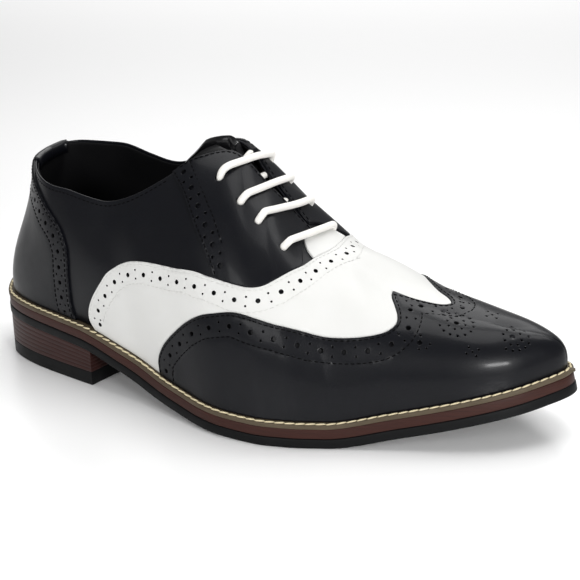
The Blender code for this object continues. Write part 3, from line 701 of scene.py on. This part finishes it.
# Lines of points inside a panel's edge, and on and beside its stitch rows.
def innerLines(chart, loop, edge, holes, rows):
    points, normals = onChart(chart, loop)
    ahead = unit(np.roll(points, -1, axis=0) - np.roll(points, 1, axis=0))
    tangents = metric(chart, loop)
    inward = np.cross(normals, ahead)
    if insideLoop(loop, loop + planeMoves(tangents, inward * mm)).mean() < 0.5:  # a mirrored chart
        inward = -inward
    lines = []
    for distance in (0.3 * panel["edgeRound"], panel["edgeRound"], panel["band"]):
        line = loop + planeMoves(tangents, inward * distance)
        lines.append(line[insideLoop(loop, line) & (roomTo(edge, chart, line) > 0.8 * distance)])
    for row in rows:
        places = evenPlaces(chart, row, panel["rowPitch"])
        for distance in (-panel["rowSides"], 0.0, panel["rowSides"]):
            line = offsetLine(chart, places, distance) if distance else places
            line = line[np.isfinite(line).all(axis=1)]
            line = line[insideLoop(loop, line) & (roomTo(edge, chart, line) > panel["pointRoom"])]
            for place, radius in holes:
                line = line[np.linalg.norm(line - place, axis=1) > radius + panel["pointRoom"]]
            if len(line):
                taken = onChart(chart, np.concatenate(lines))[0]
                lines.append(line[roomTo(taken, chart, line) > 0.35 * mm])
    return lines


def holeRings(chart, place, radius):  # a hole that is round on the surface: its rim and its lip
    axes = np.linalg.svd(metric(chart, place[None])[0], full_matrices=False)
    shape = axes[2].T @ np.diag(1 / axes[1]) @ axes[2]
    count = 14 if radius > 0.7 * mm else 8
    angles = np.arange(count) * 2 * math.pi / count
    around = np.stack([np.cos(angles), np.sin(angles)], 1)
    return place + radius * around @ shape, place + (radius + panel["lip"]) * around @ shape


def evenGrid(loop, pitch):  # offset rows of points inside an outline
    low, high = loop.min(0), loop.max(0)
    columns, rows = np.arange(low[0], high[0], pitch), np.arange(low[1], high[1], pitch * 0.866)
    grid = np.stack(np.meshgrid(columns, rows, indexing="ij"), -1)
    grid[:, 1::2, 0] += pitch / 2
    grid = grid.reshape(-1, 2)
    return grid[insideLoop(loop, grid)]


# Fills a panel's outline with triangles round its holes. Gives the points of the plane, the
# triangles, and for each point the hole that it rims, or -1.
def fillPanel(chart, loop, holes, lines):
    rings = [holeRings(chart, place, radius) for place, radius in holes]
    rims = [rim for rim, _ in rings]
    fixed = np.concatenate([loop] + rims + [lip for _, lip in rings] + lines)
    grid = evenGrid(loop, panel["pitch"])
    away, _ = nearest([(*p, 0) for p in grid], [(*p, 0) for p in fixed])
    grid = grid[away > 0.62 * panel["pitch"]]
    for place, radius in holes:
        grid = grid[np.linalg.norm(grid - place, axis=1) > radius * 1.1]
    places = np.concatenate([fixed, grid])
    edges, start, owner = [], len(loop), -np.ones(len(places), int)
    for k, rim in enumerate(rims):
        edges += [(start + j, start + (j + 1) % len(rim)) for j in range(len(rim))]
        owner[start:start + len(rim)] = k
        start += len(rim)
    border = [list(range(len(loop)))]
    flat, _, faces, origin, _, _ = delaunay_2d_cdt([Vector(p) for p in places], edges, border, 1, 1e-8)
    holeOf = np.array([max([owner[i] for i in group], default=-1) for group in origin])
    faces = [list(f) for f in faces if not (holeOf[f[0]] >= 0 and len({holeOf[v] for v in f}) == 1)]
    return np.array([tuple(p) for p in flat]), faces, holeOf


# The height of a panel's top over the upper and the lean of its normals: rounded at the edge, dipped
# at the lip of each hole and grooved under each stitch row.
def dressTop(chart, loop, base, low, high, holes, rows):
    def towards(places):
        targets = onChart(chart, places)[0]
        distance, which = nearest(base, targets)
        return distance, which, unit(base - targets[which])
    edge = np.concatenate([loop + (np.roll(loop, -1, axis=0) - loop) * f for f in (0, 0.25, 0.5, 0.75)])
    distance, _, away = towards(edge)
    drop = np.clip(1 - distance / panel["edgeRound"], 0, 1)
    lift = high - 0.55 * (high - low) * (1 - np.sqrt(np.clip(1 - drop ** 2, 0, 1)))
    lean = away * (0.9 * drop)[:, None]
    if holes:
        distance, which, away = towards(np.array([place for place, _ in holes]))
        radii = np.array([radius for _, radius in holes])[which]
        dip = np.clip(1 - (distance - radii) / panel["lip"], 0, 1)
        lift = lift - panel["lipDrop"] * dip ** 2
        lean = lean + away * (0.55 * dip)[:, None]
    for row in rows:
        distance, _, away = towards(row)
        groove = np.clip(1 - distance / panel["groove"], 0, 1)
        lift = lift - panel["grooveDepth"] * groove ** 2 * (3 - 2 * groove)
        slope = panel["grooveDepth"] / panel["groove"] * 6 * groove * (1 - groove)
        lean = lean + away * slope[:, None]
    return lift, lean


# A leather panel with a rounded edge and punched holes, each (place in the plane, radius). Rows are
# (colour, stitch line in the plane). What lies too near the edge is left out.
def cutPanel(name, chart, sections, low, high, holes, rows, material, replaced):
    loop = np.concatenate([smoothLine(section, linePitch)[:-1] for section in sections])
    if np.sum(loop[:, 0] * np.roll(loop[:, 1], -1) - loop[:, 1] * np.roll(loop[:, 0], -1)) < 0:
        loop = loop[::-1]
    edge = onChart(chart, loop)[0]
    if holes:
        places = np.array([place for place, _ in holes])
        kept = zip(holes, roomTo(edge, chart, places), insideLoop(loop, places))
        holes = [hole for hole, room, inside in kept if inside and room > hole[1] + panel["holeRoom"]]
    lines = []
    for colour, row in rows:
        row = row[insideLoop(loop, row) & (roomTo(edge, chart, row) > panel["rowRoom"])]
        stitchRows[colour].append((chart, row, high))
        lines.append(row)
    flat, faces, holeOf = fillPanel(chart, loop, holes, innerLines(chart, loop, edge, holes, lines))
    base, up = onChart(chart, flat)
    lift, lean = dressTop(chart, loop, base, low, high, holes, lines)
    top, bottom = base + up * lift[:, None], base + up * low
    a, b, c = faces[0][:3]
    if np.cross(top[b] - top[a], top[c] - top[a]) @ up[a] <= 0:
        faces = [f[::-1] for f in faces]
    n = len(flat)
    rim = rimEdges(faces)
    ring = sorted({v for pair in rim for v in pair})
    wallPoint = {v: 2 * n + k for k, v in enumerate(ring)}
    outward = {v: 0 for v in ring}
    walls, punched = [], []
    for a, b in rim:
        for v in (a, b):
            outward[v] = outward[v] + np.cross(top[b] - top[a], up[a])
        walls.append([wallPoint[b], wallPoint[a], wallPoint[a] + len(ring), wallPoint[b] + len(ring)])
        punched.append(holeOf[a] >= 0 and holeOf[b] >= 0)
    wallNormals = unit(np.array([outward[v] for v in ring]))
    piece = finishMesh(name, np.concatenate([top, bottom, top[ring], bottom[ring]]),
                       faces + [[v + n for v in f[::-1]] for f in faces] + walls, material, [replaced],
                       np.concatenate([unit(up - lean), -up, wallNormals, wallNormals]))
    piece.data.materials.append(liningLeatherAndHoleShade)  # the dark lining material, painted on the holes' walls as shade
    # The walls of the punched holes take the dark lining material: painted shade in the holes. The black at
    # their bottom is the real shell beneath.
    for face, shadedHoleWall in zip(piece.data.polygons[2 * len(faces):], punched):
        face.material_index = int(shadedHoleWall)


# A brogue row: big holes, and between them pairs of small holes across the line.
def punchRow(chart, line, style, start, end):
    places = evenPlaces(chart, line, style["pitch"] / 2, start, end)
    if len(places) % 2 == 0:
        places = evenPlaces(chart, line, style["pitch"] / 2 * (len(places) - 1) / len(places), start, end)
    holes = [(p, style["big"]) for p in places[::2]]
    points, normals = onChart(chart, places)
    ahead = unit(np.gradient(points, axis=0))
    across = planeMoves(metric(chart, places), np.cross(normals, ahead) * style["spread"])[1::2]
    for sign in (1, -1):
        holes += [(p + sign * move, style["small"]) for p, move in zip(places[1::2], across)]
    return holes


# radii of the big and small holes and the small ones' distance from the line, then how far inside the
# panel's edge the line and the two stitch rows run, and the distance from big hole to big hole
brogue = {"big": 1.1 * mm, "small": 0.52 * mm, "spread": 2.0 * mm, "holeRow": 6.0 * mm,
          "stitchRows": (1.4 * mm, 10.6 * mm), "pitch": 10.6 * mm}
counterBrogue = {**brogue, "pitch": 8.5 * mm}
facingBrogue = {"big": 1.3 * mm, "small": 0.75 * mm, "spread": 2.1 * mm, "holeRow": 5.0 * mm,
                "stitchRows": (1.2 * mm, 9.8 * mm), "pitch": 10.5 * mm}
# heights over the upper of each panel's top, and of the undersides
lifts = {"facing": 1.3 * mm, "tab": 1.5 * mm, "vamp": 1.6 * mm, "cap": 2.1 * mm, "counter": 1.5 * mm}
undersides = {"cap": 0.1 * mm, "other": 0.05 * mm}
lineDetail = 0.5 * mm  # how finely holes and stitches follow an edge


# The holes and stitches that follow a panel's edge, at real distances inside it.
def bandRows(chart, line, turn, colour, style, start, end):
    dense = smoothLine(line, lineDetail)
    holes = punchRow(chart, insideRow(chart, dense, turn * style["holeRow"]), style, start, end)
    return holes, [(colour, insideRow(chart, dense, turn * distance)) for distance in style["stitchRows"]]


medallion = {"side": -1, "rear": (0.824, 0.725), "front": (0.886, 0.528), "room": 1.8 * mm}
# (along the toe, across it) in mm from the rear big hole, and rings of small holes: radius, count, arc
rosettes = [
    (0, 0, [(4.0, 8, 360), (7.6, 13, 300)]), (24.5, 0, [(4.0, 8, 360), (7.2, 9, 200)]),
    (-13, -16, [(4.4, 7, 270)]), (-4, 17, [(4.4, 7, 270)]),
]
clusters = [(10, -14), (14, 13)]


# the place of the plane nearest to a point in space
def reach(chart, start, target):
    place = np.array(start, float)[None]
    for _ in range(8):
        place = place + planeMoves(metric(chart, place), np.asarray(target) - onChart(chart, place)[0])
    return place[0]


def medallionHoles():
    start, tip = [frontLine(medallion["side"], [medallion[end]])[0] for end in ("rear", "front")]
    (origin, ahead), (normal, _) = onChart(frontChart, np.array([start, tip]))
    ahead = unit(ahead - origin)
    across = unit(np.cross(normal, ahead))
    holes = []

    def punch(along, aside, radius):
        target = origin + ahead * along * mm + across * aside * mm
        holes.append((reach(frontChart, start, target), radius))
    for along, aside, rings in rosettes:
        punch(along, aside, brogue["big"])
        for radius, count, arc in rings:
            turn = math.atan2(aside, along) if along or aside else 0.0
            for k in range(count):
                angle = turn + math.radians(arc) * (k / (count - (arc < 360)) - 0.5)
                punch(along + radius * math.cos(angle), aside + radius * math.sin(angle), brogue["small"])
    for along, aside in clusters:
        for step, shift in ((0, 0), (2.2, 2.2), (2.2, -2.2), (-2.2, 2.2), (-2.2, -2.2)):
            punch(along + step, aside + shift, brogue["small"])
    return holes


capEdges = {side: frontLine(side, line) for side, line in ((-1, wingLateral), (1, wingMedial))}
vampEdges = {side: frontLine(side, vampEdge) for side in (-1, 1)}
toeTip = [(shoe["stationSpan"], across * shoe["ribSpan"]) for across in (-1, 0, 1)]
capHoles, capRows = bandRows(frontChart, capEdges[-1] + capEdges[1][-2::-1], -1, "black", brogue,
                             4 * mm, 4 * mm)
bandPoints = onChart(frontChart, np.concatenate([row for _, row in capRows]))[0]
capHoles += [(place, radius) for place, radius in medallionHoles()
             if roomTo(bandPoints, frontChart, place[None])[0] > medallion["room"]]
cutPanel("wing_cap_leather", frontChart, [
    capEdges[1], capEdges[-1][::-1], [capEdges[-1][0], toeTip[0]], toeTip[:2], toeTip[1:],
    [toeTip[2], capEdges[1][0]],
], undersides["cap"], lifts["cap"], capHoles, capRows, blackLeather, "wing_cap")

vampHoles, vampRows = bandRows(frontChart, vampEdges[-1] + vampEdges[1][-2::-1], -1, "white", brogue,
                               3 * mm, 3 * mm)
cutPanel("vamp_leather", frontChart, [
    vampEdges[-1], vampEdges[1][::-1], [vampEdges[1][0], capEdges[1][0]],
    capEdges[1], capEdges[-1][::-1], [capEdges[-1][0], vampEdges[-1][0]],
], undersides["other"], lifts["vamp"], vampHoles, vampRows, whiteLeather, "vamp")

foot = [p for p in vampEdge if facingEdge[-1][0] < p[0] < facingFoot[0][0]]
foot = [facingEdge[-1]] + foot + [facingFoot[0]]
for side, name in ((-1, "facing_lateral"), (1, "facing_medial")):
    line = frontLine(side, facingEdge)
    holes, rows = bandRows(frontChart, line, -side, "black", facingBrogue, 5 * mm, 4 * mm)
    rows.append(("black", smoothLine(frontLine(side, slitStitches), lineDetail)))
    for lateral, lateralStep, _, medial, medialStep in laceTable:
        eyelet = (lateral, lateralStep) if side < 0 else (medial, medialStep)
        holes.append((np.array(frontLine(side, [eyelet])[0]), lace["eyelet"]))
    cutPanel(name + "_leather", frontChart, [
        line, frontLine(side, foot), frontLine(side, facingFoot),
        frontLine(side, [facingFoot[-1], facingEdge[0]]),
    ], undersides["other"], lifts["facing"], holes, rows, blackLeather, name)

tabFront = [tabEdge[0]] + [p for p in vampEdge if p[0] > tabStation]
cutPanel("throat_tab_leather", frontChart, [
    frontLine(-1, tabEdge), frontLine(1, tabEdge)[::-1],
    frontLine(1, tabFront), frontLine(-1, tabFront)[::-1],
], undersides["other"], lifts["tab"], [], [], whiteLeather, "throat_tab")

counterEdges = {side: backLine(side, counterEdge) for side in (-1, 1)}
counterHoles, counterRows = [], []
for side, line in counterEdges.items():
    holes, rows = bandRows(backChart, line, -side, "black", counterBrogue, 3 * mm, 14 * mm)
    counterHoles += holes
    counterRows += rows
cutPanel("counter_leather", backChart, [
    counterEdges[-1], [counterEdges[-1][-1], counterEdges[1][-1]],
    counterEdges[1][::-1], [counterEdges[1][0], counterEdges[-1][0]],
], undersides["other"], lifts["counter"], counterHoles, counterRows, blackLeather, "counter")

for side in (-1, 1):
    stitchRows["black"].append((backChart, smoothLine(backLine(side, toplineStitches), lineDetail), 0.0))

# the counter's top folds over the collar at the back: its reach to each side as a station, and step,
# lift and rise of each line of its section, in millimetres
grip = {"reach": 0.135, "stations": 25, "section": [
    (0.940, 1.7, 0.0), (0.972, 1.7, 0.0), (0.992, 1.5, 0.2), (1.0, 0.9, 0.7), (1.0, -0.6, 1.0),
    (1.0, -2.0, 0.7), (0.990, -2.7, 0.2), (0.970, -2.9, 0.0), (0.930, -2.9, 0.0), (0.930, -1.9, 0.0),
    (0.975, -1.7, 0.0), (0.990, 0.1, 0.0), (0.940, 0.6, 0.0),
]}


def makeGrip():
    half = np.linspace(grip["reach"], 0, grip["stations"])
    run = np.concatenate([half, half[-2::-1]])
    side = np.where(np.arange(len(run)) >= grip["stations"], 1, -1)
    rings = [skin(side, run, np.full(len(run), step), lift * mm)[0] + (0, 0, rise * mm)
             for step, lift, rise in grip["section"]]
    points = np.stack(rings, 1)
    n, m = points.shape[:2]
    faces = gridFaces(n, m) + [list(range(m))[::-1], [(n - 1) * m + j for j in range(m)]]
    piece = finishMesh("collar_grip", points.reshape(-1, 3), faces, blackLeather)
    closeMesh(piece)


makeGrip()

print("stitches")
# length and pitch, each thread's radius, and a stitch's section as shares of its length and radius
stitch = {"length": 1.8 * mm, "pitch": 2.6 * mm, "black": 0.27 * mm, "white": 0.17 * mm,
          "section": [(-0.5, 0.35), (-0.32, 0.85), (0.0, 1.0), (0.32, 0.85), (0.5, 0.35)]}
weltStitch = {"inset": 1.3 * mm, "length": 4.6 * mm, "pitch": 4.5 * mm, "radius": 0.6 * mm,
              "slant": math.radians(9), "squash": 0.8, "height": 0.1 * mm}


# Rows of small stitches, joined in one mesh. A seam is its 3-D points and normals.
def stitchMesh(name, seams, length, pitch, radius, material, slant=0.0, squash=1.0):
    sides = 6
    angles = np.arange(sides) * 2 * math.pi / sides
    shape = np.array([(share * length, size * radius * math.cos(a), size * radius * math.sin(a) * squash)
                      for share, size in stitch["section"] for a in angles])
    shapeFaces = gridFaces(len(stitch["section"]), sides)
    shapeFaces += [list(range(sides))[::-1], list(range(len(shape) - sides, len(shape)))]
    points, faces = [], []
    for seam, normals in seams:
        run = np.concatenate([[0], np.cumsum(np.linalg.norm(np.diff(seam, axis=0), axis=1))])
        count = int(run[-1] / pitch)

        def along(place, values):
            return np.array([np.interp(place, run, values[:, k]) for k in range(3)])
        for place in (np.arange(count) + 0.5) * run[-1] / max(count, 1):
            up = unit(along(place, normals))
            ahead = along(place + 0.3 * mm, seam) - along(place - 0.3 * mm, seam)
            ahead = unit(ahead - up * (ahead @ up))
            turned = ahead * math.cos(slant) + np.cross(up, ahead) * math.sin(slant)
            placed = shape[:, :1] * turned + shape[:, 1:2] * np.cross(up, turned) + shape[:, 2:] * up
            faces += [[len(points) + v for v in f] for f in shapeFaces]
            points += list(along(place, seam) + placed)
    finishMesh(name, np.array(points), faces, material)


for colour, material in (("black", blackThread), ("white", whiteThread)):
    seams = [onChart(chart, line, lift) for chart, line, lift in stitchRows[colour]]
    stitchMesh(colour + "_stitches", seams, stitch["length"], stitch["pitch"], stitch[colour],
               material)

weltSeams = []
for side in (-1.0, 1.0):
    seam, above = [onSole(side, np.linspace(0, 1, 400), weltStitch["inset"], height) + (soleLow.x, middleY, 0)
                   for height in (weltTop + weltStitch["height"], weltTop + weltStitch["height"] + mm)]
    weltSeams.append((seam, unit(above - seam)))
stitchMesh("welt_stitches", weltSeams, weltStitch["length"], weltStitch["pitch"], weltStitch["radius"],
           creamThread, weltStitch["slant"], weltStitch["squash"])

print("tongue and lace")
# share of the way, station and step of the side edge, station of the middle, rise, slack
tongueTable = [
    (0.00, 0.640, 0.900, 0.662, 0.00, 0.05), (0.25, 0.602, 0.860, 0.632, 0.00, 0.20),
    (0.50, 0.560, 0.860, 0.612, 0.00, 0.35), (0.75, 0.518, 0.890, 0.592, 0.00, 0.55),
    (0.90, 0.478, 0.950, 0.580, 0.40, 0.85), (1.00, 0.460, 0.980, 0.571, 1.00, 1.00),
]
# rise of its tip, slack under the slit, lean back, spread of its wings, room to the lining
tongue = {"rows": 41, "columns": 17, "thickness": 2.2 * mm, "rise": 9.5 * mm, "slack": 3.5 * mm,
          "lean": 0.2, "spread": 1.0, "room": 1.5 * mm, "rimRound": 0.5 * mm}


def makeTongue():
    rows = np.linspace(0, 1, tongue["rows"])
    wingStation, wingStep, middleStation, rise, slack = [part(rows)[:, None]
                                                         for part in curvesOf(tongueTable)]
    share = np.linspace(0, 1, tongue["columns"])[None]
    station = wingStation + (middleStation - wingStation) * share
    step = np.minimum(wingStep + (1 - wingStep) * share, 1 - 1e-3)
    lift = tongue["rise"] * rise * np.sin(math.pi / 2 * share)
    layers = []
    for thickness in (tongue["thickness"], 0):
        depth = shoe["wall"] + tongue["room"] + tongue["slack"] * slack + thickness + 0 * share
        halves = []
        for side in (-1.0, 1.0):
            half = skin(side, station, step, -depth)[0]
            half[..., 0] -= tongue["lean"] * lift
            half[..., 1] -= side * tongue["spread"] * lift * (1 - share)
            half[..., 2] += lift
            halves.append(half if side < 0 else half[:, ::-1])
        layers.append(np.concatenate(halves, 1).reshape(-1, 3))
    n = len(layers[0])
    sheet = gridFaces(tongue["rows"], 2 * tongue["columns"], closed=False)
    walls = [[a, b, b + n, a + n] for a, b in rimEdges(sheet)]
    faces = [[v + n for v in f] for f in sheet] + [f[::-1] for f in sheet] + walls
    piece = finishMesh("tongue_leather", np.concatenate(layers), faces, tongueLeather,
                       ["tongue"])
    closeMesh(piece, rimRound=tongue["rimRound"])


makeTongue()


def cordPoint(station, across, lift, radius):  # a control point of the lace, with the cord's radius there
    plane = np.array([[shoe["stationSpan"] * station, shoe["ribSpan"] * across]])
    return np.array([*onChart(frontChart, plane, lift)[0][0], radius])


# One cord over the slit from the lateral to the medial eyelet, down, and back under the facings,
# where it is pressed flat, to the next lateral eyelet. Its two ends stay hidden at the top.
def makeLace():
    hidden = -(shoe["wall"] + lace["flat"])
    turn = lace["turn"] / shoe["ribSpan"]
    bends = [(0.0, -0.6 * mm), (0.35, 1.9 * mm), (0.8, lace["over"] - 0.35 * mm)]  # turns, lift
    route = [cordPoint(laceTable[0][0], laceTable[0][1] - 1, hidden, lace["flat"])]
    for number, (lateral, lateralStep, slit, medial, medialStep) in enumerate(laceTable):
        low, high = lateralStep - 1, 1 - medialStep
        station = tableCurve([low, 0, high], [lateral, slit, medial])

        def over(across, lift):
            return cordPoint(float(station(across)), across, lift, lace["radius"])
        route += [over(low + turn * share, lift) for share, lift in bends]
        first, before, after, last = [over(across, lace["over"])
                                      for across in (low + 1.4 * turn, -1e-4, 1e-4, high - 1.4 * turn)]
        crest = (before + after) / 2
        rising, falling = np.linalg.norm(crest - first), np.linalg.norm(last - crest)
        crest = crest + (first + (last - first) * rising / (rising + falling) - crest) * 0.15
        route += [first + (crest - first) * share for share in (0, 0.3, 0.6, 0.85)]
        route += [crest + (last - crest) * share for share in (0.25, 0.6, 1.0)]
        route += [over(high - turn * share, lift) for share, lift in bends[::-1]]
        if number + 1 < len(laceTable):
            nextStation, nextLow = laceTable[number + 1][0], laceTable[number + 1][1] - 1
            for share in np.linspace(0, 1, 17):
                across = high + (nextLow - high) * share
                middle = math.exp(-(across * shoe["ribSpan"] / lace["glimpse"]) ** 2)
                route.append(cordPoint(medial + (nextStation - medial) * share, across,
                                       hidden + lace["glimpseLift"] * middle,
                                       lace["flat"] + (lace["radius"] - lace["flat"]) * middle))
    for _, _, _, medial, medialStep in laceTable[::-1]:  # hidden, up to the top eyelet
        aside = 0.0 if medial == laceTable[0][3] else lace["aside"] / shoe["ribSpan"]
        route.append(cordPoint(medial, 1 - medialStep + aside, hidden, lace["flat"]))
    cord = smoothLine(route, lace["pitch"])
    data = bpy.data.curves.new("shoe_lace", "CURVE")
    data.dimensions = "3D"
    data.bevel_depth = 1.0
    data.bevel_resolution = 5
    data.use_fill_caps = True
    spline = data.splines.new("POLY")
    spline.points.add(len(cord) - 1)
    for point, (x, y, z, radius) in zip(spline.points, cord):
        point.co = (x, y, z, 1)
        point.radius = radius
    data.materials.append(laceCotton)
    piece = addObject(data.name, data)
    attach(piece, "root")
    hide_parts(*[f"lace_bar_{number + 1}" for number in range(len(laceTable))])


makeLace()

print("stage")


def makeFloor():
    bpy.ops.object.select_all(action="DESELECT")
    bpy.ops.mesh.primitive_plane_add(size=12, location=(0, 0, -0.05 * mm))
    floor = bpy.context.object
    floor.name = "studio_floor"
    floor.data.materials.append(newMaterial("White studio card", "#ffffff", 0.3)[0])  # even and pale


def addSoftbox(name, place, target, width, height, power):
    data = bpy.data.lights.new(name, "AREA")
    data.shape = "RECTANGLE"
    data.size, data.size_y, data.energy = width, height, power
    light = addObject(name, data)
    light.location = place
    light.rotation_euler = (Vector(target) - Vector(place)).to_track_quat("-Z", "Y").to_euler()


cameraView = {"azimuth": 30.1, "elevation": 19.3, "distance": 0.630, "focal": 1285, "roll": -1.7,
              "target": (0.150, 0.0, 0.045), "centre": (262, 287.5), "frame": 580}


def makeCamera():
    azimuth, elevation = math.radians(cameraView["azimuth"]), math.radians(cameraView["elevation"])
    level = math.cos(elevation)
    back = Vector((math.sin(azimuth) * level, -math.cos(azimuth) * level, math.sin(elevation)))
    target = Vector(cameraView["target"]) + Vector((soleLow.x, middleY, 0))
    data = bpy.data.cameras.new("camera")
    size = cameraView["frame"]
    data.sensor_width = 36
    data.lens = 36 * cameraView["focal"] / size
    data.shift_x = (size / 2 - cameraView["centre"][0]) / size
    data.shift_y = (cameraView["centre"][1] - size / 2) / size
    camera = addObject("camera", data)
    look = back.to_track_quat("Z", "Y").to_matrix().to_4x4()
    roll = Matrix.Rotation(math.radians(cameraView["roll"]), 4, "Z")
    camera.matrix_world = Matrix.Translation(target + back * cameraView["distance"]) @ look @ roll
    bpy.context.scene.camera = camera


makeFloor()
makeCamera()
world = bpy.data.worlds.new("studio")
bpy.context.scene.world = world
world.use_nodes = True
world.node_tree.nodes["Background"].inputs["Color"].default_value = linearColour("#ffffff")
world.node_tree.nodes["Background"].inputs["Strength"].default_value = 0.24
addSoftbox("top softbox", (0.0, 0.18, 1.05), (0, 0, 0), 1.0, 0.7, 7.0)
addSoftbox("front softbox", (-0.05, -1.1, 0.50), (0.0, 0, 0.05), 0.8, 0.4, 4.8)
addSoftbox("background softbox", (-0.9, 2.1, 1.5), (-0.9, 2.1, 0), 2.6, 1.8, 46)
addSoftbox("toe strip", (0.72, -0.48, 0.30), (0.13, -0.02, 0.04), 0.22, 0.08, 3.6)
addSoftbox("back softbox", (0.47, 0.55, 0.80), (0.02, 0, 0.08), 0.35, 0.25, 1.1)
bpy.context.scene.view_settings.view_transform = "Standard"
